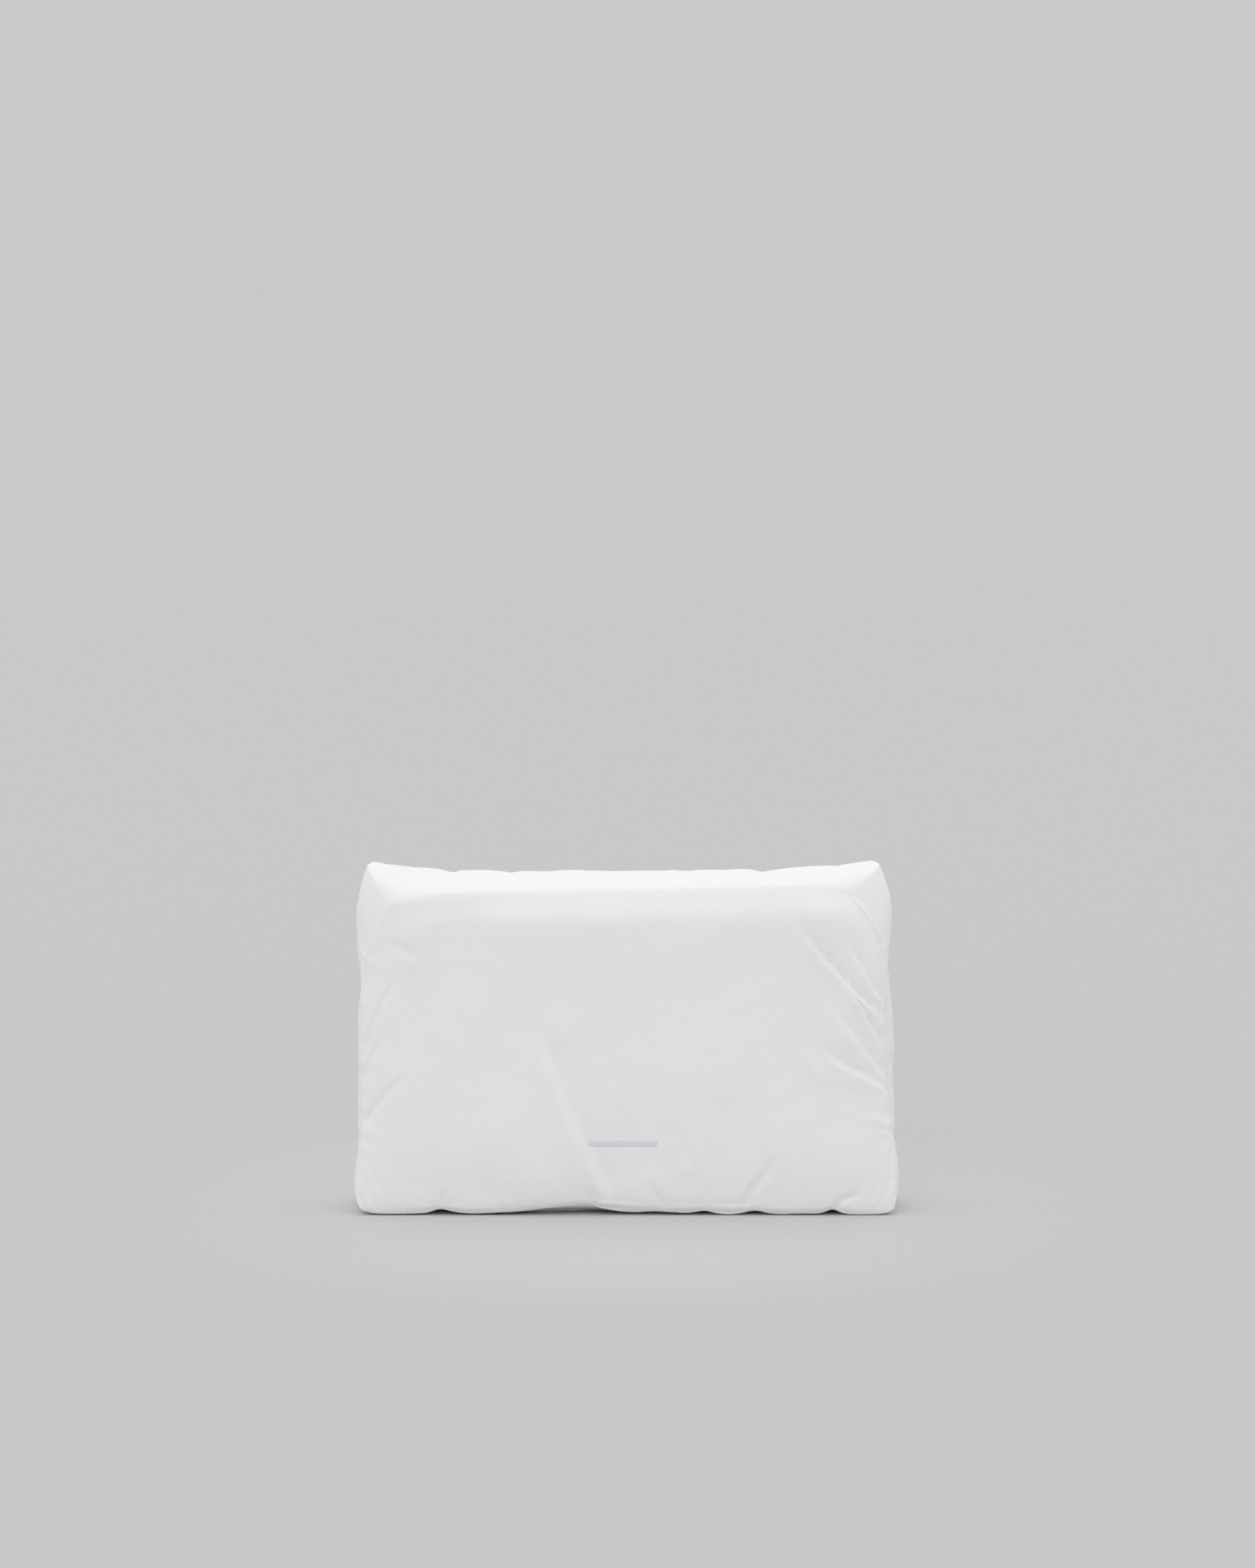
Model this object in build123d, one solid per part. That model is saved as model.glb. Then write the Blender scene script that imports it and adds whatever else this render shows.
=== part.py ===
"""Camp pillow: a padded, zipped cover round a sewn inner pillow filled with fibre.

Frame, in millimetres: +X to the right across the width, +Y to the back, +Z up.
The pillow stands on its long edge. The origin is on the floor, under its middle.
"""

import os

from build123d import *

# Stuffed size of the whole pillow
WIDTH = 400.0
HEIGHT = 260.0
DEPTH = 104.0

# The boxed shape: two faces sewn to a gusset that runs round all four edges
GUSSET_DEPTH = 80.0  # from the front seam to the back seam
SIDE_SWELL = 8.0  # how far a side gusset bulges past its seams
TOP_SWELL = 17.0  # how far the top gusset domes above its seams
BASE_ROUND = 8.0  # height of the two long seams at the bottom
FACE_ROLL_X = 42.0  # the width over which a face rounds over to its side seams
FACE_ROLL_TOP = 47.0
FACE_ROLL_BASE = 42.0
CORNER_ROUND = 30.0
CORNER_MARGIN = 4.0  # how far the corner rounding's own square stands outside the pillow

# Layers, from the outside in
COVER_WALL = 2.6  # shell, thin wadding and lining, quilted as one
COVER_GAP = 0.8  # air between the cover and the inner pillow
LINER_WALL = 0.6
FILL_GAP = 0.3

# The zip lies in a shallow valley across the back
ZIP_HEIGHT = 76.0
ZIP_SIDE_MARGIN = 50.0  # from each end of the zip's opening to the pillow's side
VALLEY_DEPTH = 5.0
VALLEY_FLOOR = 25.0
VALLEY_SLOPE = 7.5
OPENING_GAP = 0.8  # between the opening's edges and the slider
TAPE_RECESS = 1.0  # the tape lies this far under the valley's floor
TAPE_WALL = 0.6
TAPE_WIDTH = 11.0
TAPE_TUCK = 8.0  # how far the tape runs on past each end of the opening
CHAIN_GAP = 1.2  # between the two rows, where the slider's web runs
COIL_WIDTH = 2.3
COIL_HEIGHT = 1.5
STOP_LENGTH = 2.8
STOP_WALL = 0.5
STOP_WRAP = 0.4  # wall of a stop round the free edge of its tape
STOP_INSET = 4.0  # from the end of the opening to a stop

# Slider and puller
RUNNING_GAP = 0.2  # between the slider and what runs through it
SLIDER_LENGTH = 11.5
SLIDER_FLARE = 1.2  # how much wider the leading end is than the tail
PLATE_WALL = 1.1
FLANGE_WALL = 1.0
WEB_WALL = 0.8
WEB_LENGTH = 3.0
SLIDER_STOP_GAP = 1.2
CROWN_LENGTH = 5.6
CROWN_WIDTH = 2.4
CROWN_WALL = 0.7
PIVOT_RADIUS = 0.6
PULLER_WALL = 1.1
PULLER_LENGTH = 24.0
PULLER_WIDTH = 7.0
PULLER_NECK = 5.6
PULLER_ARM = 1.1
PULLER_HOLE_RADIUS = 1.3
PULLER_HOLE_INSET = 3.6
PULLER_RECESS = 0.2
PULLER_SWING_GAP = 0.6  # between the crown's ends and the tab's root

# Labels
PRINT_LENGTH = 52.0
PRINT_HEIGHT = 4.5
PRINT_WALL = 0.15
PRINT_CENTRE_HEIGHT = 54.5
PRINT_OFFSET = -3.0  # to the left of the middle
LABEL_WIDTH = 20.0
LABEL_HEIGHT = 34.0
LABEL_WALL = 0.4
LABEL_GAP = 0.2
LABEL_BASE_HEIGHT = 118.0
LABEL_SEAM_INSET = 2.0

# Places worked out from the sizes
SEAM_Y = GUSSET_DEPTH / 2
FACE_Y = DEPTH / 2
SEAM_X = WIDTH / 2 - SIDE_SWELL
SEAM_TOP = HEIGHT - TOP_SWELL
REACH = WIDTH + HEIGHT + DEPTH  # longer than the pillow in any direction

FLOOR_Y = FACE_Y - VALLEY_DEPTH
TAPE_Y = FLOOR_Y - TAPE_RECESS  # outer face of the tapes
COIL_Y = TAPE_Y + COIL_HEIGHT
OPENING_END = WIDTH / 2 - ZIP_SIDE_MARGIN
TAPE_END = OPENING_END + TAPE_TUCK
STOP_END = OPENING_END - STOP_INSET
STOP_START = STOP_END - STOP_LENGTH
CHAIN_IN = CHAIN_GAP / 2
CHAIN_OUT = CHAIN_IN + COIL_WIDTH
CHANNEL = CHAIN_OUT + RUNNING_GAP  # half the slider's inner width
SLIDER_TAIL = 2 * (CHANNEL + FLANGE_WALL)
SLIDER_SHOULDER = SLIDER_TAIL + SLIDER_FLARE
OPENING_WIDTH = SLIDER_SHOULDER + 2 * OPENING_GAP

PLATE_IN_Y = TAPE_Y - TAPE_WALL - RUNNING_GAP  # outer face of the slider's inner plate
PLATE_OUT_Y = COIL_Y + RUNNING_GAP  # inner face of its outer plate
PLATE_TOP_Y = PLATE_OUT_Y + PLATE_WALL
SLIDER_X = STOP_START - SLIDER_STOP_GAP - SLIDER_LENGTH / 2  # slider's middle, zip closed
PIVOT_Y = PLATE_TOP_Y + RUNNING_GAP + PIVOT_RADIUS
CROWN_IN_Y = PIVOT_Y + PIVOT_RADIUS + RUNNING_GAP
CROWN_TOP_Y = CROWN_IN_Y + CROWN_WALL


def block(x, y, z):
    """A box from its lowest and highest x, y and z."""
    size = (x[1] - x[0], y[1] - y[0], z[1] - z[0])
    middle = (sum(x) / 2, sum(y) / 2, sum(z) / 2)
    return Pos(*middle) * Box(*size)


def side_section():
    """The pillow seen from its end: flat base, rolled faces, domed top, zip valley."""
    base_half = SEAM_Y - BASE_ROUND
    flat_low = BASE_ROUND + FACE_ROLL_BASE
    flat_high = SEAM_TOP - FACE_ROLL_TOP
    floor_low = ZIP_HEIGHT - VALLEY_FLOOR / 2
    floor_high = ZIP_HEIGHT + VALLEY_FLOOR / 2
    outline = [
        Line((-base_half, 0), (base_half, 0)),
        ThreePointArc((-SEAM_Y, SEAM_TOP), (0, HEIGHT), (SEAM_Y, SEAM_TOP)),
        Line((-FACE_Y, flat_low), (-FACE_Y, flat_high)),
        Polyline(
            (FACE_Y, flat_low),
            (FACE_Y, floor_low - VALLEY_SLOPE),
            (FLOOR_Y, floor_low),
            (FLOOR_Y, floor_high),
            (FACE_Y, floor_high + VALLEY_SLOPE),
            (FACE_Y, flat_high),
        ),
    ]
    for side in (-1, 1):
        low_seam = (side * SEAM_Y, BASE_ROUND)
        high_seam = (side * SEAM_Y, SEAM_TOP)
        outline += [
            TangentArc((side * base_half, 0), low_seam, tangent=(side, 0)),
            TangentArc((side * FACE_Y, flat_low), low_seam, tangent=(0, -1)),
            TangentArc((side * FACE_Y, flat_high), high_seam, tangent=(0, 1)),
        ]
    return make_face(outline)


def plan_section():
    """The pillow seen from above: flat faces that roll into bulging sides."""
    flat_half = SEAM_X - FACE_ROLL_X
    outline = []
    for side in (-1, 1):
        outline.append(Line((-flat_half, side * FACE_Y), (flat_half, side * FACE_Y)))
        outline.append(
            ThreePointArc(
                (side * SEAM_X, -SEAM_Y), (side * WIDTH / 2, 0), (side * SEAM_X, SEAM_Y)
            )
        )
        for face in (-1, 1):
            start = (side * flat_half, face * FACE_Y)
            seam = (side * SEAM_X, face * SEAM_Y)
            outline.append(TangentArc(start, seam, tangent=(side, 0)))
    return make_face(outline)


def front_section():
    """A square that only rounds the pillow's four corners."""
    wide = WIDTH + 2 * CORNER_MARGIN
    high = HEIGHT + 2 * CORNER_MARGIN
    return Pos(0, HEIGHT / 2) * RectangleRounded(wide, high, CORNER_ROUND)


def pillow(inset):
    """The stuffed shape, with every wall moved inwards by inset."""

    def moved(section):
        return offset(section, amount=-inset) if inset else section

    side = extrude(Plane.YZ * moved(side_section()), REACH, both=True)
    plan = extrude(moved(plan_section()), REACH, both=True)
    front = extrude(Plane.XZ * moved(front_section()), REACH, both=True)
    return side & plan & front


def behind(y):
    """Everything at the back of a plane at y."""
    return block((-REACH, REACH), (y, REACH), (-REACH, REACH))


def cover_shell():
    return pillow(0) - pillow(COVER_WALL)


def tape(side):
    """One zip tape, above (side 1) or below (side -1) the zip's line."""
    edges = sorted(ZIP_HEIGHT + side * z for z in (CHAIN_IN, CHAIN_IN + TAPE_WIDTH))
    return block((-TAPE_END, TAPE_END), (TAPE_Y - TAPE_WALL, TAPE_Y), edges)


def coil(side):
    """One row of the zip's coil, as a plain bar on the face of its tape."""
    edges = sorted(ZIP_HEIGHT + side * z for z in (CHAIN_IN, CHAIN_OUT))
    return block((-STOP_END, STOP_END), (TAPE_Y, COIL_Y), edges)


def front_panel(shell):
    return shell - behind(-SEAM_Y)


def back_panels(shell):
    """The upper and lower back panels, with the zip's opening and tapes cut out."""
    half = OPENING_WIDTH / 2
    opening = block(
        (-OPENING_END, OPENING_END), (SEAM_Y, REACH), (ZIP_HEIGHT - half, ZIP_HEIGHT + half)
    )
    back = (shell & behind(SEAM_Y)) - opening - tape(1) - tape(-1)
    above = block((-REACH, REACH), (-REACH, REACH), (ZIP_HEIGHT, REACH))
    return back & above, back - above


def gussets(shell):
    """The four strips between the front and back seams, mitred at the corners."""
    ring = (shell & behind(-SEAM_Y)) - behind(SEAM_Y)
    half, middle = WIDTH / 2, HEIGHT / 2
    ridge = half - middle
    low, high = -REACH, HEIGHT + REACH
    strips = {
        "gusset_top": [(-ridge, middle), (ridge, middle), (ridge + REACH + middle, high)]
        + [(-ridge - REACH - middle, high)],
        "gusset_bottom": [(-ridge, middle), (-ridge - REACH - middle, low)]
        + [(ridge + REACH + middle, low), (ridge, middle)],
        "gusset_left": [(-ridge, middle), (-ridge - REACH - middle, high)]
        + [(-ridge - REACH - middle, low)],
        "gusset_right": [(ridge, middle), (ridge + REACH + middle, low)]
        + [(ridge + REACH + middle, high)],
    }
    cut = {}
    for name, corners in strips.items():
        wedge = Plane.XZ * make_face(Polyline(*corners, close=True))
        cut[name] = ring & extrude(wedge, REACH, both=True)
    return cut


def liner_panels():
    """The inner pillow's two casing panels, which meet at a seam round the middle."""
    outer = COVER_WALL + COVER_GAP
    shell = pillow(outer) - pillow(outer + LINER_WALL)
    return shell - behind(0), shell & behind(0)


def fibre_fill():
    return pillow(COVER_WALL + COVER_GAP + LINER_WALL + FILL_GAP)


def print_mark():
    """A plain rounded bar, heat pressed on the front."""
    bar = Pos(PRINT_OFFSET, PRINT_CENTRE_HEIGHT) * SlotOverall(PRINT_LENGTH, PRINT_HEIGHT)
    return Pos(0, -FACE_Y, 0) * extrude(Plane.XZ * bar, PRINT_WALL)


def care_label():
    """A woven label caught in the back's left seam, lying on the back panel."""
    layer = pillow(-LABEL_GAP - LABEL_WALL) - pillow(-LABEL_GAP)
    seam_end = -SEAM_X + LABEL_SEAM_INSET
    patch = block(
        (seam_end, seam_end + LABEL_WIDTH),
        (SEAM_Y / 2, REACH),
        (LABEL_BASE_HEIGHT, LABEL_BASE_HEIGHT + LABEL_HEIGHT),
    )
    return layer & patch


def stop(start, sides):
    """A metal clip pressed round the rows on the given sides of the zip's line."""
    z = [ZIP_HEIGHT + s * d for s in sides for d in (CHAIN_IN - STOP_WRAP, CHAIN_OUT)]
    clip = block(
        (start, start + STOP_LENGTH),
        (TAPE_Y - TAPE_WALL - STOP_WALL, COIL_Y + STOP_WALL),
        (min(z), max(z)),
    )
    for s in sides:
        clip -= coil(s) + tape(s)
    return clip


def slider_plate(low_y, high_y):
    """One plate of the slider: a wide shoulder that leads, and a narrower tail."""
    lead, trail = SLIDER_LENGTH / 2, -SLIDER_LENGTH / 2
    wide, narrow = SLIDER_SHOULDER / 2, SLIDER_TAIL / 2
    outline = Polyline(
        (lead, wide - SLIDER_FLARE),
        (lead - SLIDER_FLARE, wide),
        (0, wide),
        (trail, narrow),
        (trail, -narrow),
        (0, -wide),
        (lead - SLIDER_FLARE, -wide),
        (lead, SLIDER_FLARE - wide),
        close=True,
    )
    plate = extrude(Plane.XZ * make_face(outline), high_y - low_y)
    return Pos(SLIDER_X, high_y, ZIP_HEIGHT) * plate


def slider_body():
    """Two plates round the chain, joined by a thin web at the leading end."""
    outer = slider_plate(PLATE_OUT_Y, PLATE_TOP_Y)
    outer = fillet(outer.edges().group_by(Axis.Y)[-1], PLATE_WALL / 3)
    inner = slider_plate(PLATE_IN_Y - PLATE_WALL, PLATE_IN_Y)
    flanges = slider_plate(TAPE_Y + RUNNING_GAP, PLATE_OUT_Y)
    flanges -= block(
        (-REACH, REACH), (0, REACH), (ZIP_HEIGHT - CHANNEL, ZIP_HEIGHT + CHANNEL)
    )
    lead = SLIDER_X + SLIDER_LENGTH / 2
    web = block(
        (lead - WEB_LENGTH, lead - RUNNING_GAP),
        (PLATE_IN_Y, PLATE_OUT_Y),
        (ZIP_HEIGHT - WEB_WALL / 2, ZIP_HEIGHT + WEB_WALL / 2),
    )
    return outer + inner + flanges + web


def slider_crown():
    """The arch on the slider that the puller hangs from."""
    half = CROWN_LENGTH / 2
    arch = block(
        (SLIDER_X - half, SLIDER_X + half),
        (PLATE_TOP_Y, CROWN_TOP_Y),
        (ZIP_HEIGHT - CROWN_WIDTH / 2, ZIP_HEIGHT + CROWN_WIDTH / 2),
    )
    arch = fillet(arch.edges().group_by(Axis.Y)[-1].filter_by(Axis.Z), CROWN_WALL)
    inside = half - CROWN_WALL
    return arch - block(
        (SLIDER_X - inside, SLIDER_X + inside), (PLATE_TOP_Y, CROWN_IN_Y), (0, REACH)
    )


def puller():
    """A flat tab on two arms, with a bar that turns inside the crown."""
    arm_in = CROWN_WIDTH / 2 + 2 * RUNNING_GAP
    arm_out = arm_in + PULLER_ARM
    neck = CROWN_LENGTH / 2 + PULLER_SWING_GAP
    outline = Polyline(
        (0, arm_out),
        (-neck, PULLER_NECK / 2),
        (-PULLER_LENGTH, PULLER_WIDTH / 2),
        (-PULLER_LENGTH, -PULLER_WIDTH / 2),
        (-neck, -PULLER_NECK / 2),
        (0, -arm_out),
        close=True,
    )
    tab = extrude(Plane.XZ * make_face(outline), PULLER_WALL / 2, both=True)
    tip = tab.edges().filter_by(Axis.Y).group_by(Axis.X)[0]
    tab = fillet(tip, PULLER_WIDTH / 3)
    tab -= block((-neck, REACH), (-REACH, REACH), (-arm_in, arm_in))
    hole = Pos(-PULLER_LENGTH + PULLER_HOLE_INSET, 0, 0) * Rot(90, 0, 0)
    tab -= hole * Cylinder(PULLER_HOLE_RADIUS, REACH)
    rim = FLANGE_WALL
    window = (-PULLER_LENGTH + 2 * PULLER_HOLE_INSET, -neck - 2 * rim)
    half = PULLER_NECK / 2 - rim
    for face in (-1, 1):
        y = sorted((face * REACH, face * (PULLER_WALL / 2 - PULLER_RECESS)))
        tab -= block(window, y, (-half, half))
    bar = Cylinder(PIVOT_RADIUS, 2 * arm_out)
    return Pos(SLIDER_X, PIVOT_Y, ZIP_HEIGHT) * (tab + bar)


def parts():
    shell = cover_shell()
    back_upper, back_lower = back_panels(shell)
    liner_front, liner_back = liner_panels()
    made = {
        "cover_front_panel": front_panel(shell),
        "cover_back_upper_panel": back_upper,
        "cover_back_lower_panel": back_lower,
        "inner_casing_front": liner_front,
        "inner_casing_back": liner_back,
        "fibre_fill": fibre_fill(),
        "print_mark": print_mark(),
        "care_label": care_label(),
        "zip_tape_upper": tape(1),
        "zip_tape_lower": tape(-1),
        "zip_coil_upper": coil(1),
        "zip_coil_lower": coil(-1),
        "zip_top_stops": Compound(children=[stop(STOP_START, [1]), stop(STOP_START, [-1])]),
        "zip_bottom_stop": stop(-STOP_END, [-1, 1]),
        "zip_slider_body": slider_body(),
        "zip_slider_crown": slider_crown(),
        "zip_puller": puller(),
    }
    made.update(gussets(shell))
    return made


os.makedirs("parts", exist_ok=True)
for name, shape in parts().items():
    export_step(shape, f"parts/{name}.step")
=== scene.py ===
"""Builds the looks of a boxed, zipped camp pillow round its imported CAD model.

Frame: metres, +X to the right, +Y to the back, +Z up, origin on the floor under the middle.
Shapes are worked out in millimetres and written in metres.
"""

import math

import bpy
import numpy as np
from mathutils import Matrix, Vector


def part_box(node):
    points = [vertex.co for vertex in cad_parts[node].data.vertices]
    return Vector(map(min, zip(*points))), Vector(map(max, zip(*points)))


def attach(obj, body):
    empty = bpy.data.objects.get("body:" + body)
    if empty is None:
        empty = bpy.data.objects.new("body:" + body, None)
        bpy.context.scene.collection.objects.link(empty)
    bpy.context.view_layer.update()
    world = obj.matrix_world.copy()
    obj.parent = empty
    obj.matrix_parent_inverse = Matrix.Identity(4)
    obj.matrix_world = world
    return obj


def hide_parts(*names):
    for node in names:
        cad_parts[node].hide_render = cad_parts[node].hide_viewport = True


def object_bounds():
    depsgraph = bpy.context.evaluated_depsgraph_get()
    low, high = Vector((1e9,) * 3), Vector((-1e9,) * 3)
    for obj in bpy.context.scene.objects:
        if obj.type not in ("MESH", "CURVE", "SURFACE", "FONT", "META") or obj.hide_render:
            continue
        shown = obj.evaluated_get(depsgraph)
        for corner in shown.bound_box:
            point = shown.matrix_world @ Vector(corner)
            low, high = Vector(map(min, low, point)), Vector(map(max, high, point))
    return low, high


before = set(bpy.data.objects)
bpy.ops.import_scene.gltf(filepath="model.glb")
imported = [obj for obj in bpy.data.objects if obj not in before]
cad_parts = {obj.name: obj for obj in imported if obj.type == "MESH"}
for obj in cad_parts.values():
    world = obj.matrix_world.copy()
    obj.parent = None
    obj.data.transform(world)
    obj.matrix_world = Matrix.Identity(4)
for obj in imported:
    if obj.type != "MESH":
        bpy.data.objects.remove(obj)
CAD_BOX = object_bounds()

bl_info = {
    "name": "Camp Pillow",
    "version": (1, 0, 0),
    "blender": (4, 5, 0),
    "location": "View3D > Sidebar > Camp Pillow",
    "description": "Makes a boxed camp pillow with a zipped cover, an inner pillow and a stage",
    "category": "Object",
}

MM = 0.001
WIDTH, DEPTH, HEIGHT = (np.array(CAD_BOX[1]) - np.array(CAD_BOX[0])) / MM
GUSSET_DEPTH = DEPTH * 0.86  # the side strip's width, laid flat
FLAT_SIZE = np.array([WIDTH, GUSSET_DEPTH, HEIGHT * 0.95])  # the sewn panels, laid flat
STITCH_DENT_PITCH = 0.003  # one stitch to the next along the seams, in metres
WEAVE_PITCH = 0.0007  # one drawn thread to the next, in metres
WAVE_SCALE = 0.314  # a wave texture's scale for one band in each metre
ZIP_GROOVE = 0.6  # from the tapes down to the fabric under them, in mm
ZIP_LIP = 1.3  # how far the fabric beside the zip stands over its tapes, in mm
STITCH_ROW = 7.6  # from the zip's middle to the stitches beside it, in mm
CASING_GAP, FIBRE_GAP = 1.2, 2.6  # from the fabric under the zip in to each filling, in mm
SOFT_HOLD, FIRM_HOLD = 0.42, 0.9  # how much of its sewn shape the fabric keeps
INK_LIFT, INK_FILM = 0.12, 0.1  # the print's face over the fabric and its thickness, in mm


def node_box(name):
    """A CAD node's lowest and highest corner, in millimetres."""
    low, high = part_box(name)
    return np.array(low) / MM, np.array(high) / MM


COIL_LOW, COIL_HIGH = node_box("zip_coil_upper")
TAPE_LOW, TAPE_HIGH = node_box("zip_tape_upper")
LOWER_TAPE_LOW = node_box("zip_tape_lower")[0]
PRINT_LOW, PRINT_HIGH = node_box("print_mark")
LABEL_LOW, LABEL_HIGH = node_box("care_label")
ZIP_Z = (LOWER_TAPE_LOW[2] + TAPE_HIGH[2]) / 2

# Seams, as places on three closed loops: the front seam, the gusset's middle and the back
# seam. Side edges give x for a height, long edges give z for a place across the width.
FRONT_Y, BACK_Y = -DEPTH * 0.405, DEPTH * 0.405
TOP_EDGES = {
    "front": [(-174, 232), (-150, 238.2), (-120, 241), (-60, 241), (0, 242.6), (60, 243.2)]
    + [(100, 244.8), (140, 244.6), (166, 241.5)],
    "middle": [(-192, 257.2), (-178, 255.5), (-160, 254.4), (-140, 252.2), (-129, 249.6)]
    + [(-118, 250.5), (-92, 250), (-87, 249.3), (-80, 250.4), (-56, 250.6), (-50, 251.2)]
    + [(0, 251.4)]
    + [(40, 252), (55, 252.6), (70, 252), (96, 251.2), (101, 250.2), (108, 251.6), (140, 254.6)]
    + [(165, 256), (186.5, 258)],
    "back": [(-182, 240), (-130, 236), (-50, 234), (40, 234), (130, 237), (180, 241)],
}
BASE_EDGES = {
    "front": [(-197.5, 3.4), (-189, 0.8), (-180, 0.4), (-160, 0.6), (-145, 1.8), (-138, 5)]
    + [(-132, 3), (-124, 1.2), (-100, 1.2), (-80, 2.2), (-60, 4.7), (-40, 6.8), (-27, 9)]
    + [(-19, 4.8), (-5, 2.4), (10, 1.8), (20, 2.6), (40, 1.2), (50, 1.4), (57, 3.8), (65, 0.8)]
    + [(85, 1), (95, 3.6), (104, 1), (130, 0.8), (146, 1.4), (153, 4.8), (158, 1.2)]
    + [(165, 0.2), (184, 0.1), (192, 0.7), (197.5, 3)],
    "middle": [(-194, 0), (0, 0), (194, 0)],
    "back": [(-195, 4), (-140, 2), (-96, 6), (-70, 3), (-10, 5), (30, 7), (60, 3), (120, 6)]
    + [(195, 3)],
}
LEFT_EDGES = {
    "front": [(3.4, -197.5), (8, -200.5), (15, -201), (34, -200), (60, -197.5), (120, -198)]
    + [(162, -197), (173, -194), (184, -194.5), (200, -190), (232, -174)],
    "middle": [(0, -194), (5, -199.5), (12, -201), (30, -200.5), (58, -197.8), (78, -199.6)]
    + [(101, -198.8), (146, -197.8), (161, -197.4), (171, -193), (182, -197), (200, -199.5)]
    + [(227, -199), (242, -196.5), (257.2, -192)],
    "back": [(0, -194), (15, -198), (100, -195), (200, -192), (240, -182)],
}
RIGHT_EDGES = {
    "front": [(3, 197.5), (8, 200), (15, 200.5), (40, 200.5), (62, 196.5), (90, 194)]
    + [(150, 191.5), (190, 190.5), (208, 187), (225, 179), (241.5, 166)],
    "middle": [(0, 194), (5, 199), (12, 200.8), (26, 201), (38, 200.5), (54, 196.3), (64, 198.3)]
    + [(96, 197.6), (146, 195.8), (168, 193.2), (188, 193), (208, 195.4), (231, 195.6)]
    + [(243, 192.5), (258, 186.5)],
    "back": [(0, 195), (15, 198), (100, 195), (200, 191), (241, 180)],
}

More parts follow.
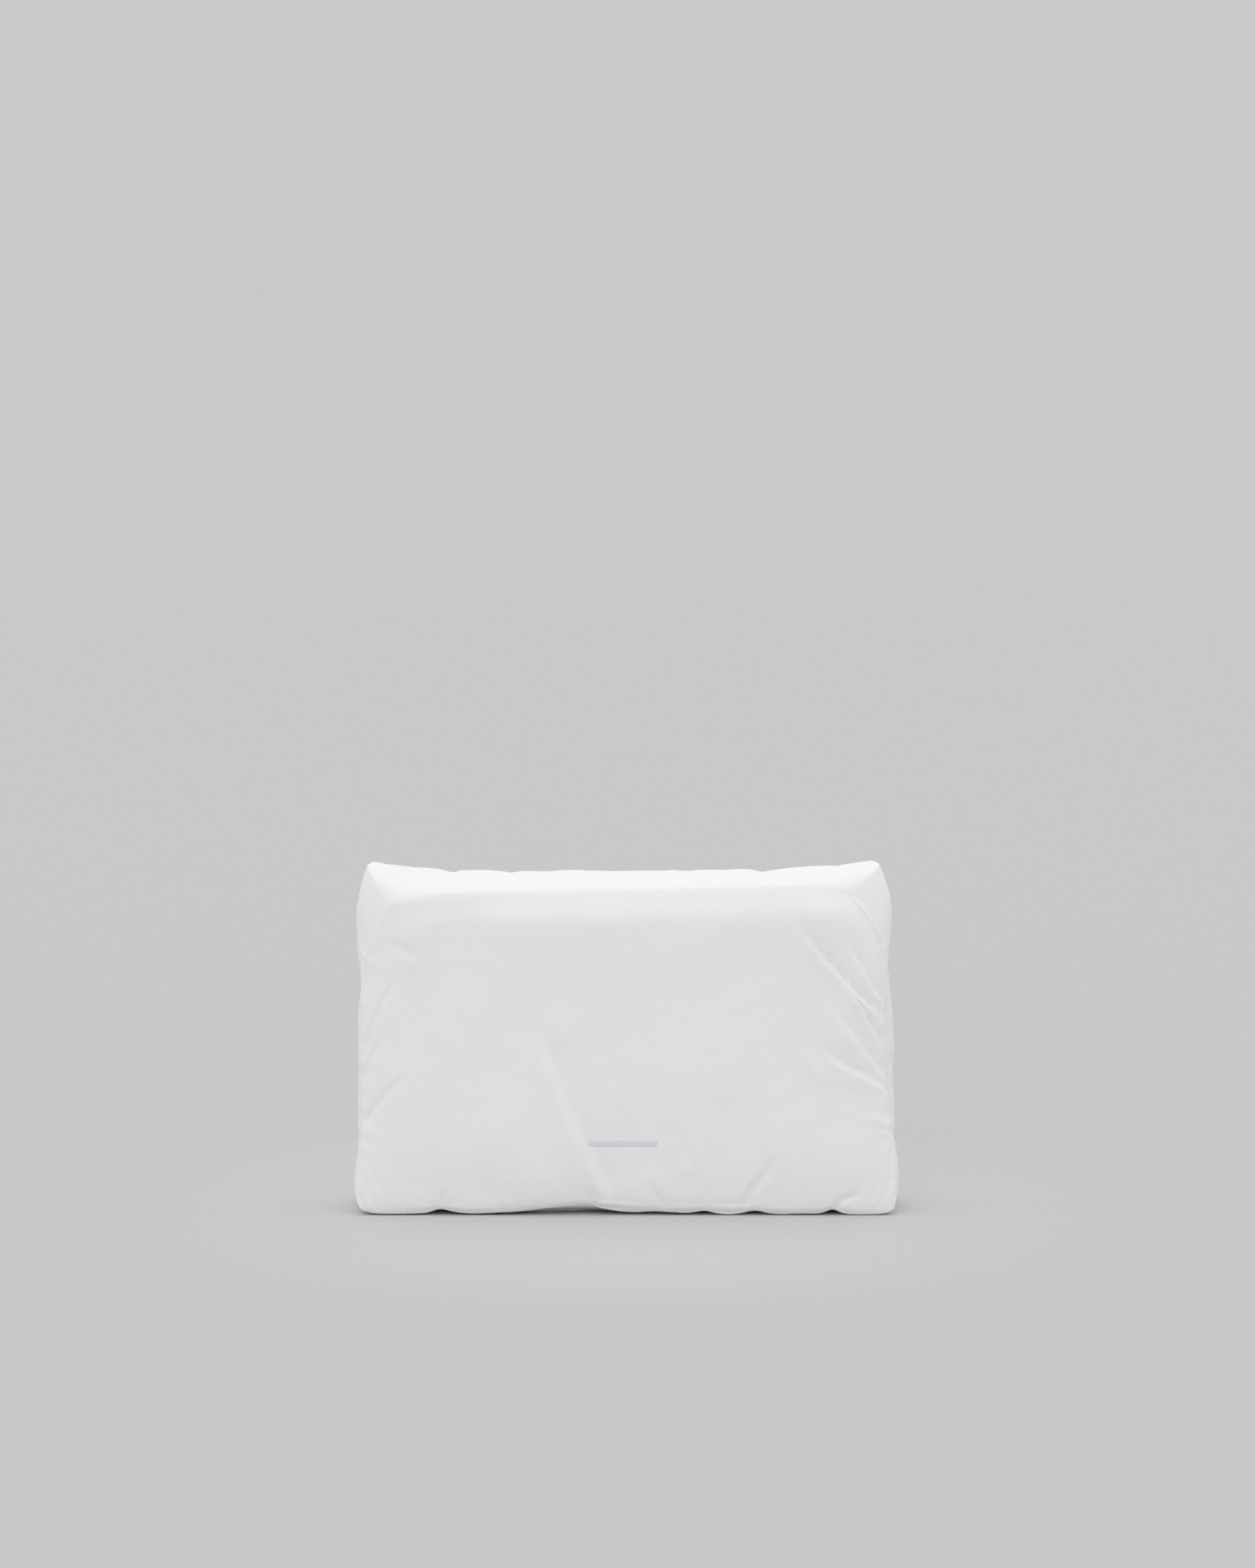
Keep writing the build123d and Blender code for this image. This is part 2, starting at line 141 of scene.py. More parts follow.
# Creases in the fabric: the panel, a path (x, z) on it, height, half width, and its kind.
# A fold's hollow lies to the left of its path, or to the right where its height is negative.
# A kind's numbers are its crest, its drop's width, its hollow and how far that reaches.
KINDS = {"fold": (0.5, 0.75, 1.1, 1.8), "slope": (0.35, 1.5, 0.65, 8.0)}
CREASES = [
    (
        "front",
        [(-72, 142), (-66, 126), (-60, 110), (-52, 88), (-43, 66), (-33, 45), (-25, 28), (-18, 10)],
        4.2, 6.2, "slope",
    ),
    ("front", [(-30, 24), (-27, 15), (-26, 9)], -0.9, 4.0, "ridge"),
    ("front", [(122, 218), (140, 195), (160, 173), (170, 162), (184, 149)], 2.5, 4.0, "fold"),
    ("front", [(164, 168), (170, 158), (178, 143), (189, 122)], 1.8, 2.3, "fold"),
    (
        "front", [(163.5, 239), (170, 231.5), (177, 222.5), (182, 213.5), (185.5, 205)],
        1.2, 1.3, "ridge",
    ),
    ("front", [(158, 206), (170, 186), (180, 168), (189, 156)], 1.3, 4.4, "fold"),
    ("front", [(146, 158), (160, 140), (172, 123), (184, 108), (196, 95)], 1.2, 4.6, "fold"),
    ("front", [(138, 127), (150, 115), (162, 108), (178, 100), (196, 87)], 1.1, 5.2, "fold"),
    ("front", [(128, 126), (138, 110), (150, 99)], 0.5, 5.0, "ridge"),
    ("front", [(172, 73), (184, 71), (198, 66)], 0.8, 3.4, "ridge"),
    ("front", [(188, 63), (193, 59), (199, 54)], 0.7, 2.4, "ridge"),
    ("front", [(112, 50), (101, 30), (91, 17), (87, 6)], -1.3, 3.4, "ridge"),
    ("front", [(178, 17), (165, 14), (157, 10), (152, 4)], -1.0, 2.6, "ridge"),
    ("front", [(49, 46), (51, 34), (53, 24)], -0.5, 3.0, "ridge"),
    ("front", [(33, 94), (43, 68), (50, 50), (56, 24)], 0.6, 3.0, "ridge"),
    ("front", [(16, 28), (21, 16), (28, 6)], -0.8, 2.4, "ridge"),
    ("front", [(38, 34), (43, 34), (48, 33)], 0.5, 3.4, "ridge"),
    ("front", [(-165, 182), (-178, 162), (-187, 142), (-195, 116)], -0.9, 2.3, "ridge"),
    ("front", [(-176, 142), (-186, 121), (-198, 94)], -0.8, 2.5, "ridge"),
    ("front", [(-156, 110), (-178, 90), (-197, 64)], -1.0, 2.9, "ridge"),
    ("front", [(-182, 224), (-189, 204), (-194, 186)], -1.1, 3.0, "fold"),
    ("front", [(-177, 204), (-164, 198), (-153, 192.5)], -0.8, 4.0, "ridge"),
    ("front", [(-133, 22), (-135, 14), (-137, 6)], -0.8, 3.0, "ridge"),
    ("back", [(120, 225), (158, 196), (189, 160)], 1.9, 4.0, "fold"),
    ("back", [(-124, 226), (-160, 200), (-190, 168)], -1.8, 3.6, "fold"),
    ("back", [(-150, 120), (-172, 104), (-192, 98)], 1.2, 5.0, "ridge"),
    ("back", [(150, 128), (172, 118), (192, 120)], 1.2, 5.0, "ridge"),
    ("back", [(-90, 92), (-84, 116), (-66, 140)], 1.0, 6.5, "ridge"),
    ("back", [(40, 92), (48, 122), (70, 152)], 1.1, 7.5, "ridge"),
    ("back", [(96, 60), (104, 38), (100, 10)], 1.0, 5.0, "ridge"),
    ("back", [(-60, 60), (-70, 34), (-68, 8)], 1.0, 5.0, "ridge"),
    ("top", [(-150, -34), (-158, -10), (-176, 22)], 1.0, 4.0, "fold"),
    ("top", [(-118, -38), (-124, -14), (-122, 8)], 0.9, 4.0, "ridge"),
    ("top", [(150, -32), (158, -4), (174, 24)], 1.0, 4.0, "fold"),
    ("top", [(40, 38), (34, 12), (38, -8)], 0.8, 4.5, "ridge"),
    ("left", [(-36, 210), (-10, 196), (24, 204)], 1.1, 4.0, "fold"),
    ("left", [(-38, 60), (-10, 66), (20, 52)], 1.0, 5.0, "ridge"),
    ("left", [(38, 130), (10, 120), (-16, 128)], 1.0, 4.5, "ridge"),
    ("right", [(-36, 182), (-8, 176), (24, 186)], 1.1, 4.0, "fold"),
    ("right", [(-38, 128), (-12, 120), (18, 126)], 1.0, 4.0, "ridge"),
    ("right", [(38, 66), (8, 58), (-20, 64)], 1.0, 5.0, "ridge"),
]


def smooth(low, high, x):
    """0 below low, 1 above high, and an S curve between them."""
    u = np.clip((x - low) / (high - low), 0, 1)
    return u * u * (3 - 2 * u)


def through(points, x):
    """A smooth curve through given points: a cubic on each span, with shared slopes."""
    px, py = np.array(points, float).T
    slope = np.gradient(py, px)
    i = np.clip(np.searchsorted(px, x) - 1, 0, len(px) - 2)
    span = px[i + 1] - px[i]
    u = np.clip((x - px[i]) / span, 0, 1)
    return (
        (2 * u**3 - 3 * u**2 + 1) * py[i]
        + (u**3 - 2 * u**2 + u) * span * slope[i]
        + (3 * u**2 - 2 * u**3) * py[i + 1]
        + (u**3 - u**2) * span * slope[i + 1]
    )


def ripple(places, length, seed, count=28):
    """Even noise: a sum of plane waves of about one length in random directions."""
    rng = np.random.default_rng(seed)
    away = rng.normal(size=(count, places.shape[1]))
    away /= np.linalg.norm(away, axis=1)[:, None]
    away *= 2 * np.pi / (length * rng.uniform(0.7, 1.5, count))[:, None]
    phase = rng.uniform(0, 2 * np.pi, count)
    return np.cos(places @ away.T + phase).sum(1) / math.sqrt(count / 2)


def box_grid(counts):
    """A closed box of quads: each side is a grid from -1 to 1 whose rows crowd towards its
    edges, and edges are shared."""
    counts = np.array(counts)
    keys, quads = [], []
    for axis in range(3):
        u, v = (axis + 1) % 3, (axis + 2) % 3
        for sign in (-1, 1):
            i, j = np.meshgrid(np.arange(counts[u] + 1), np.arange(counts[v] + 1), indexing="ij")
            place = np.zeros(i.shape + (3,), int)
            place[..., axis] = counts[axis] if sign > 0 else 0
            place[..., u], place[..., v] = i, j
            stride = np.array([1, counts[0] + 1, (counts[0] + 1) * (counts[1] + 1)])
            key = place @ stride
            ring = [key[:-1, :-1], key[1:, :-1], key[1:, 1:], key[:-1, 1:]]
            if sign < 0:
                ring.reverse()
            keys.append(key.ravel())
            quads.append(np.stack(ring, -1).reshape(-1, 4))
    used, _ = np.unique(np.concatenate(keys), return_inverse=True)
    faces = np.searchsorted(used, np.concatenate(quads))
    x = used % (counts[0] + 1)
    y = used // (counts[0] + 1) % (counts[1] + 1)
    z = used // ((counts[0] + 1) * (counts[1] + 1))
    even = np.stack([x, y, z], 1) / counts * 2.0 - 1.0
    return np.sign(even) * (1 - (1 - np.abs(even)) ** 1.25), faces


def outline(loop, s, t):
    """A point of a panel whose four edges are the loop's: the two pairs of edges are each
    blended across, added, and the corners' own blend is taken away."""
    top, base, left, right = TOP_EDGES[loop], BASE_EDGES[loop], LEFT_EDGES[loop], RIGHT_EDGES[loop]
    u, v = (s + 1) / 2, (t + 1) / 2
    top_x = top[0][0] + (top[-1][0] - top[0][0]) * u
    base_x = base[0][0] + (base[-1][0] - base[0][0]) * u
    top_z, base_z = through(top, top_x), through(base, base_x)
    left_z = base[0][1] + (top[0][1] - base[0][1]) * v
    right_z = base[-1][1] + (top[-1][1] - base[-1][1]) * v
    left_x, right_x = through(left, left_z), through(right, right_z)
    x = left_x * (1 - u) + right_x * u + base_x * (1 - v) + top_x * v
    z = left_z * (1 - u) + right_z * u + base_z * (1 - v) + top_z * v
    for edge, end, weight in (
        (base, 0, (1 - u) * (1 - v)), (base, -1, u * (1 - v)),
        (top, 0, (1 - u) * v), (top, -1, u * v),
    ):
        x = x - edge[end][0] * weight
        z = z - edge[end][1] * weight
    return x, z


def stuffed_shape(grid, fullness):
    """The pillow at rest. A panel stands out from its seams as a flat dome with a straight
    slope along its top, and the gusset bows out from the front seam over its middle line to
    the back seam. The seams spread at the base and at the top left, where the dome is less."""
    s, q, t = grid.T
    x, z = np.zeros(len(s)), np.zeros(len(s))
    out = 1 - np.abs(q) ** (2.3 + 3 * smooth(0.86, 1, np.abs(s)) * smooth(0.3, 0.9, t))
    shares = {"front": (q < 0) * (1 - out), "back": (q >= 0) * (1 - out), "middle": out}
    for loop, weight in shares.items():
        loop_x, loop_z = outline(loop, s, t)
        x += loop_x * weight
        z += loop_z * weight
    spread = 0.02 * (1 - smooth(-1, -0.75, t)) + 0.14 * smooth(0.42, 0.8, -s) * smooth(0.6, 1, t)
    slope = 0.02 * np.log1p(np.exp((t - 0.835) / 0.02)) / 0.165
    roll = 0.8 * np.abs(t) ** 3.8 + 0.2 * np.abs(t) ** 45
    dome = (1 - np.abs(s) ** 11) * (1 - np.where(t > 0, slope, roll))
    bulge = (fullness - BACK_Y * spread) * dome * (1 + 0.06 * (1 - s * s))
    y = np.where(q < 0, -FRONT_Y, BACK_Y) * q * (1 + spread * np.abs(q) ** 3)
    y = np.where(np.abs(q) > 0.999, y + np.sign(q) * bulge, y)
    base = (t < -0.999) & (np.abs(q) < 0.999)
    depth = -FRONT_Y * (1 - np.abs(q))
    hang = 1 - smooth(5, 24, depth)
    seam_z = outline("front", s, t)[1] * (q < 0) + outline("back", s, t)[1] * (q >= 0)
    lifted = np.maximum(seam_z - 5.5, 0)
    z = np.where(base, (seam_z - lifted) * hang + lifted * np.exp(-((depth / 2.5) ** 2)), z)
    return np.stack([x, y, z], 1)


def mesh_object(name, places, faces, material=None, flat=False):
    """A mesh object at the origin from places in millimetres, and faces in an array or a list."""
    mesh = bpy.data.meshes.new(name)
    rows = faces if isinstance(faces, list) else faces.tolist()
    mesh.from_pydata((np.asarray(places) * MM).tolist(), [], rows)
    if flat:
        mesh.shade_flat()
    else:
        mesh.shade_smooth()
    made = bpy.data.objects.new(name, mesh)
    bpy.context.scene.collection.objects.link(made)
    if material:
        mesh.materials.append(material)
    return made


def places_of(mesh):
    """The mesh's vertices, in millimetres."""
    flat = np.empty(len(mesh.vertices) * 3)
    mesh.vertices.foreach_get("co", flat)
    return flat.reshape(-1, 3) / MM


def faces_of(mesh):
    """The corners of a mesh of quads."""
    flat = np.empty(len(mesh.polygons) * 4, int)
    mesh.polygons.foreach_get("vertices", flat)
    return flat.reshape(-1, 4)


def normals_of(places, faces):
    """Vertex normals: the sum of each quad's diagonal cross product, made unit length."""
    a, b, c, d = (places[faces[:, k]] for k in range(4))
    across = np.cross(c - a, d - b)
    total = np.zeros_like(places)
    for k in range(4):
        for axis in range(3):
            total[:, axis] += np.bincount(faces[:, k], across[:, axis], len(places))
    return total / np.maximum(np.linalg.norm(total, axis=1), 1e-12)[:, None]


def relaxed(places, faces, rounds):
    """Each round moves every point half way to the mean of its neighbours."""
    ends = np.concatenate([faces[:, [k, (k + 1) % 4]] for k in range(4)])
    ends = np.concatenate([ends, ends[:, ::-1]])
    count = np.bincount(ends[:, 0], minlength=len(places))[:, None]
    for _ in range(rounds):
        total = np.stack(
            [np.bincount(ends[:, 0], places[ends[:, 1], k], len(places)) for k in range(3)], 1
        )
        places = (places + total / count) / 2
    return places


def add_vertex_group(thing, name, weights):
    """A vertex group from an array of weights, rounded so that equal ones share a call."""
    group = thing.vertex_groups.new(name=name)
    level = np.round(weights * 40).astype(int)
    for value in np.unique(level[level > 0]):
        group.add(np.nonzero(level == value)[0].tolist(), float(value) / 40, "REPLACE")


def simulate(thing, hold, shrink, sizes):
    """Blows the sewn box up as cloth, with its seams gathered, and gives its new places."""
    add_vertex_group(thing, "hold", hold)
    add_vertex_group(thing, "gather", shrink)
    modifier = thing.modifiers.new("stuffing", "CLOTH")
    cloth = modifier.settings
    cloth.quality = 5
    cloth.mass = 0.15
    cloth.tension_stiffness = cloth.compression_stiffness = 30
    cloth.shear_stiffness = 12
    cloth.bending_stiffness = sizes.bending
    cloth.tension_damping = cloth.compression_damping = cloth.shear_damping = 12
    cloth.air_damping = 3
    cloth.use_pressure = True
    cloth.uniform_pressure_force = sizes.pressure
    cloth.vertex_group_mass = "hold"
    cloth.pin_stiffness = 1.0
    cloth.vertex_group_shrink = "gather"
    cloth.shrink_min = -sizes.slack
    cloth.shrink_max = sizes.gather
    cloth.effector_weights.gravity = 0
    modifier.collision_settings.use_collision = False
    modifier.point_cache.frame_end = sizes.sim_frames
    scene = bpy.context.scene
    for step in range(1, sizes.sim_frames + 1):
        scene.frame_set(step)
    swollen = thing.evaluated_get(bpy.context.evaluated_depsgraph_get())
    places = places_of(swollen.data)
    thing.modifiers.remove(modifier)
    thing.vertex_groups.clear()
    scene.frame_set(1)
    return places


def subdivided(places, faces, grid):
    """One round of subdivision, which carries each point's place on the box with it."""
    thing = mesh_object("rough", places, faces)
    attribute = thing.data.attributes.new("grid", "FLOAT_VECTOR", "POINT")
    attribute.data.foreach_set("vector", grid.ravel())
    thing.modifiers.new("finer", "SUBSURF").levels = 1
    graph = bpy.context.evaluated_depsgraph_get()
    fine = bpy.data.meshes.new_from_object(thing.evaluated_get(graph))
    spread = np.empty(len(fine.vertices) * 3)
    fine.attributes["grid"].data.foreach_get("vector", spread)
    made = places_of(fine), faces_of(fine), spread.reshape(-1, 3)
    bpy.data.objects.remove(thing)
    bpy.data.meshes.remove(fine)
    return made


def panel_weights(grid, edge=0.001):
    """Which points lie on each side of the box, up to and on its seams."""
    s, q, t = grid.T
    return {
        "front": q < -1 + edge, "back": q > 1 - edge, "top": t > 1 - edge,
        "base": t < -1 + edge, "left": s < -1 + edge, "right": s > 1 - edge,
    }


def seam_facts(grid):
    """For each point, the flat distance to the nearest seam and the run along that seam."""
    half = FLAT_SIZE / 2
    place = grid * half
    left = half - np.abs(place)
    order = np.sort(left, axis=1)
    distance = order[:, 1]
    on_side = np.argmin(left, axis=1)
    masked = left.copy()
    masked[np.arange(len(left)), on_side] = 1e9
    across = np.argmin(masked, axis=1)
    run_axis = 3 - on_side - across
    return distance, place[np.arange(len(place)), run_axis], run_axis


def crease_height(flat, path, height, width, kind):
    """A crease along a smooth path. A ridge is a bell across it. A fold or a slope rises
    softly to the path, drops into a hollow beside it and comes slowly back."""
    points = np.array(path, float)
    u = np.linspace(0, len(points) - 1, 25)
    rows = np.arange(len(points))
    bend = np.stack([through(np.stack([rows, points[:, k]], 1), u) for k in range(2)], 1)
    near = np.all((flat > bend.min(0) - 7 * width) & (flat < bend.max(0) + 7 * width), axis=1)
    p = flat[near]
    away, along, side = np.full(len(p), 1e9), np.zeros(len(p)), np.zeros(len(p))
    for k in range(len(bend) - 1):
        a, d = bend[k], bend[k + 1] - bend[k]
        f = np.clip(((p - a) @ d) / (d @ d), 0, 1)
        gap = p - a - f[:, None] * d
        distance = np.linalg.norm(gap, axis=1)
        closer = distance < away
        away = np.where(closer, distance, away)
        along = np.where(closer, (k + f) / (len(bend) - 1), along)
        side = np.where(closer, np.sign(d[0] * gap[:, 1] - d[1] * gap[:, 0]), side)
    r = away / (width * (0.8 + 0.2 * along))
    shape = np.exp(-r * r)
    if kind in KINDS:
        crest, drop, hollow, reach = KINDS[kind]
        beside = side * np.sign(height) > 0
        height = abs(height)
        down = crest - (crest + hollow) * (np.minimum(r, drop) / drop) ** 1.4
        back = -hollow * np.exp(-np.maximum(r - drop, 0) / reach * 1.4)
        shape = np.where(beside, np.where(r < drop, down, back), crest * np.exp(-((r / 2.2) ** 2)))
    fade = smooth(0, 0.35, along) * (1 - smooth(0.86, 1, along) * 0.6)
    result = np.zeros(len(flat))
    result[near] = height * shape * fade
    return result


def rounded_top(grid):
    """1 along the top of the front, where the stuffing rounds the fabric over its seam, and 0
    elsewhere."""
    ends = 1 - smooth(0.88, 0.97, np.abs(grid[:, 0]))
    return ends * smooth(0.25, 0.7, -grid[:, 1]) * smooth(0.8, 0.95, grid[:, 2])


def hidden_seam(grid):
    """How smooth the seam lies: 1, so quite flat, along the top of the front, 0.6 along the
    base, and 0 elsewhere."""
    at_base = 0.6 * (1 - smooth(-0.97, -0.85, grid[:, 2]))
    return (grid[:, 1] < 0) * smooth(0.62, 0.8, grid[:, 2]) + at_base


def fabric_relief(places, grid):
    """How far the stuffed cover's surface stands out: broad dents of the fibre under it,
    seams that pull in, puckers that run from them, and the creases."""
    distance, run, run_axis = seam_facts(grid)
    inside = smooth(0, 28, distance)
    soft = 1 - hidden_seam(grid)
    relief = 0.5 * ripple(places, 80, 3) * inside
    relief += 0.08 * ripple(places, 26, 5) * inside
    relief -= 1.1 * soft * np.exp(-((distance / 3.0) ** 2))
    key = np.stack([run + 0.25 * distance, run_axis * 400 + 40 * np.sign(grid[:, 1])], 1)
    pucker = ripple(key, 17, 8) + 0.6 * ripple(key, 9, 9)
    beside_seam = np.exp(-distance / 6.0) * smooth(0.3, 2.5, distance)
    relief += 0.4 * soft * np.clip(pucker, -1.6, 1.0) * beside_seam
    panels = panel_weights(grid)
    flats = {
        "front": places[:, [0, 2]], "back": places[:, [0, 2]],
        "top": places[:, [0, 1]], "left": places[:, [1, 2]], "right": places[:, [1, 2]],
    }
    for panel, path, height, width, kind in CREASES:
        relief += crease_height(flats[panel], path, height, width, kind) * panels[panel]
    return relief


def zip_valley(places, grid):
    """Lays the back panel to the zip: a groove under the tapes between two soft lips."""
    on_back = panel_weights(grid)["back"]
    off = places[:, 2] - ZIP_Z
    lip = TAPE_HIGH[1] + ZIP_LIP + 0.25 * ripple(places[:, [0]], 14, 12) * (np.abs(off) > 6)
    under = TAPE_LOW[1] - ZIP_GROOVE
    profile = under + (lip - under) * np.clip((np.abs(off) - 4.3) / 2.2, 0, 1)
    end = 1 - smooth(COIL_HIGH[0] + 3, COIL_HIGH[0] + 9, np.abs(places[:, 0]))
    groove = profile * end + lip * (1 - end)
    weight = 1 - smooth(8, 24, np.abs(off))
    weight *= 1 - smooth(TAPE_HIGH[0] + 4, TAPE_HIGH[0] + 26, np.abs(places[:, 0]))
    weight *= on_back
    y = places[:, 1] * (1 - weight) + groove * weight
    return np.stack([places[:, 0], y, places[:, 2]], 1)


def under_zip(places, gap):
    """Presses an inner piece flat behind the zip, a gap in mm under the cover's groove."""
    off = np.abs(places[:, 2] - ZIP_Z)
    along = smooth(TAPE_HIGH[0] + 4, TAPE_HIGH[0] + 26, np.abs(places[:, 0]))
    limit = TAPE_LOW[1] - ZIP_GROOVE - gap + 9 * np.maximum(smooth(9, 30, off), along)
    return np.stack([places[:, 0], np.minimum(places[:, 1], limit), places[:, 2]], 1)


def pattern_uv(thing, grid):
    """UVs in metres on the flat pattern: each face takes the two axes of its own panel."""
    mesh = thing.data
    faces = faces_of(mesh)
    flat = grid * FLAT_SIZE / 2 * MM
    middle = np.abs(grid[faces].mean(1))
    axis = np.argmax(middle, axis=1)
    u = np.where(axis == 0, 1, 0)
    v = np.where(axis == 2, 1, 2)
    corner = flat[faces]
    rows = np.arange(len(faces))[:, None]
    ring = np.arange(4)[None, :]
    uv = np.stack([corner[rows, ring, u[:, None]], corner[rows, ring, v[:, None]]], -1)
    layer = mesh.uv_layers.new(name="pattern")
    layer.data.foreach_set("uv", uv.ravel())


def add_attribute(thing, name, values):
    """A value for each vertex, in metres, for a material to read."""
    made = thing.data.attributes.new(name, "FLOAT", "POINT")
    made.data.foreach_set("value", np.asarray(values, np.float32) * MM)


def strip(rows, columns):
    """The quads of a grid of points with this many rows and columns."""
    i, j = np.meshgrid(np.arange(rows - 1), np.arange(columns - 1), indexing="ij")
    a = (i * columns + j).ravel()
    return np.stack([a, a + 1, a + columns + 1, a + columns], 1)


def tube_faces(rings, around):
    """The quads of a tube whose rings follow each other, open at its ends."""
    i, j = np.meshgrid(np.arange(rings - 1), np.arange(around), indexing="ij")
    a, b = (i * around + j).ravel(), (i * around + (j + 1) % around).ravel()
    return np.stack([a, b, b + around, a + around], 1)


def on_surface(thing, x, z, side):
    """Where rays along Y from the given side meet a surface, as places and normals."""
    found, normals = [], []
    for px, pz in zip(x, z):
        hit, place, normal, _ = thing.ray_cast(
            (px * MM, side * 0.2, pz * MM), (0, -side, 0), distance=1.0
        )
        if not hit:
            raise RuntimeError(f"no fabric at x {px:.1f}, z {pz:.1f}")
        found.append([k / MM for k in place])
        normals.append(list(normal))
    return np.array(found), np.array(normals)


# Materials

def linear(code):
    """An sRGB hex colour as linear red, green and blue, and a full alpha."""
    parts = [int(code[k : k + 2], 16) / 255 for k in (1, 3, 5)]
    return [c / 12.92 if c <= 0.04045 else ((c + 0.055) / 1.055) ** 2.4 for c in parts] + [1.0]


def node(tree, kind, inputs=None, **settings):
    """Adds a node, sets it up, and fills its inputs with values or links."""
    made = tree.nodes.new(kind)
    for name, value in settings.items():
        setattr(made, name, value)
    for name, value in (inputs or {}).items():
        if isinstance(value, bpy.types.NodeSocket):
            tree.links.new(value, made.inputs[name])
        else:
            made.inputs[name].default_value = value
    return made


def new_material(name):
    """An empty node material, its tree and its output."""
    material = bpy.data.materials.new(name)
    material.use_nodes = True
    tree = material.node_tree
    tree.nodes.clear()
    return material, tree, tree.nodes.new("ShaderNodeOutputMaterial")


def plain_weave(tree, coordinates, pitch):
    """Height of a plain weave: two sets of ribs at right angles, a thread's pitch apart."""
    ribs = []
    for direction in ("X", "Y"):
        ribs.append(node(
            tree, "ShaderNodeTexWave", {"Vector": coordinates, "Scale": WAVE_SCALE / pitch},
            wave_type="BANDS", bands_direction=direction, wave_profile="SIN",
        ).outputs["Fac"])
    return node(tree, "ShaderNodeMath", {0: ribs[0], 1: ribs[1]}, operation="MULTIPLY").outputs[0]


def cover_fabric(colours):
    """Calendered polyester taffeta: close-woven, so it is smooth, with a low soft sheen. Its
    threads lie 0.2 mm apart, which is drawn as 0.7 mm so that a close view shows them."""
    material, tree, out = new_material("polyester_taffeta_woven")
    uv = node(tree, "ShaderNodeUVMap", uv_map="pattern").outputs[0]
    place = node(tree, "ShaderNodeTexCoord").outputs["Object"]
    weave = plain_weave(tree, uv, WEAVE_PITCH)
    slub_map = node(tree, "ShaderNodeMapping", {"Vector": uv, "Scale": (90, 900, 1)}).outputs[0]
    slub = node(tree, "ShaderNodeTexNoise", {"Vector": slub_map, "Scale": 1.0, "Detail": 2.0})
    cloud = node(tree, "ShaderNodeTexNoise", {"Vector": place, "Scale": 16.0, "Detail": 3.0})
    seam = node(tree, "ShaderNodeAttribute", attribute_name="seam").outputs["Fac"]
    run = node(tree, "ShaderNodeAttribute", attribute_name="run").outputs["Fac"]
    near = node(
        tree, "ShaderNodeMapRange", {"Value": seam, 1: 0.0, 2: 0.001, 3: 1.0, 4: 0.0}
    ).outputs[0]
    turns = node(
        tree, "ShaderNodeMath", {0: run, 1: 2 * math.pi / STITCH_DENT_PITCH},
        operation="MULTIPLY",
    ).outputs[0]
    stitch = node(tree, "ShaderNodeMath", {0: turns}, operation="SINE").outputs[0]
    dent = node(tree, "ShaderNodeMath", {0: near, 1: stitch}, operation="MULTIPLY").outputs[0]
    tint = node(
        tree, "ShaderNodeMix",
        {0: cloud.outputs["Fac"], 6: colours.cover_shade, 7: colours.cover},
        data_type="RGBA",
    ).outputs[2]
    # painted shadow: the fabric is drawn darker within 1 mm of each seam, weaker or gone where the
    # seam lies flat, standing in for the shade inside the seam's gap
    deep = node(tree, "ShaderNodeMath", {0: near, 1: 0.2}, operation="MULTIPLY").outputs[0]
    seam_shadowed_tint = node(
        tree, "ShaderNodeMix", {0: deep, 6: tint, 7: colours.seam}, data_type="RGBA"
    ).outputs[2]
    rough = node(
        tree, "ShaderNodeMapRange", {"Value": slub.outputs["Fac"], 3: 0.52, 4: 0.68}
    ).outputs[0]
    fine = node(
        tree, "ShaderNodeBump", {"Strength": 0.12, "Distance": 0.00006, "Height": weave}
    ).outputs[0]
    threads = node(
        tree, "ShaderNodeBump",
        {"Strength": 0.2, "Distance": 0.0001, "Height": slub.outputs["Fac"], "Normal": fine},
    ).outputs[0]
    sewn = node(
        tree, "ShaderNodeBump",
        {"Strength": 0.3, "Distance": 0.0003, "Height": dent, "Normal": threads},
    ).outputs[0]
    shader = node(tree, "ShaderNodeBsdfPrincipled", {
        "Base Color": seam_shadowed_tint, "Roughness": rough, "Normal": sewn, "IOR": 1.5,
        "Specular IOR Level": 0.35, "Sheen Weight": 0.18, "Sheen Roughness": 0.4,
    })
    tree.links.new(shader.outputs[0], out.inputs[0])
    return material


def casing_fabric(colours):
    """Spun-bonded polypropylene: a thin felt-like web of pressed fibres, matt, with slight
    cloudiness where the fibres lie thicker."""
    material, tree, out = new_material("polypropylene_spunbond_pressed")
    place = node(tree, "ShaderNodeTexCoord").outputs["Object"]
    web = node(tree, "ShaderNodeTexNoise", {"Vector": place, "Scale": 420.0, "Detail": 4.0})
    cloud = node(tree, "ShaderNodeTexNoise", {"Vector": place, "Scale": 45.0})
    tint = node(
        tree, "ShaderNodeMix",
        {0: cloud.outputs["Fac"], 6: colours.casing_shade, 7: colours.casing},
        data_type="RGBA",
    ).outputs[2]
    bump = node(
        tree, "ShaderNodeBump", {"Strength": 0.4, "Distance": 0.0002, "Height": web.outputs["Fac"]}
    ).outputs[0]
    shader = node(tree, "ShaderNodeBsdfPrincipled", {
        "Base Color": tint, "Roughness": 0.9, "Normal": bump, "Sheen Weight": 0.2,
    })
    tree.links.new(shader.outputs[0], out.inputs[0])
    return material


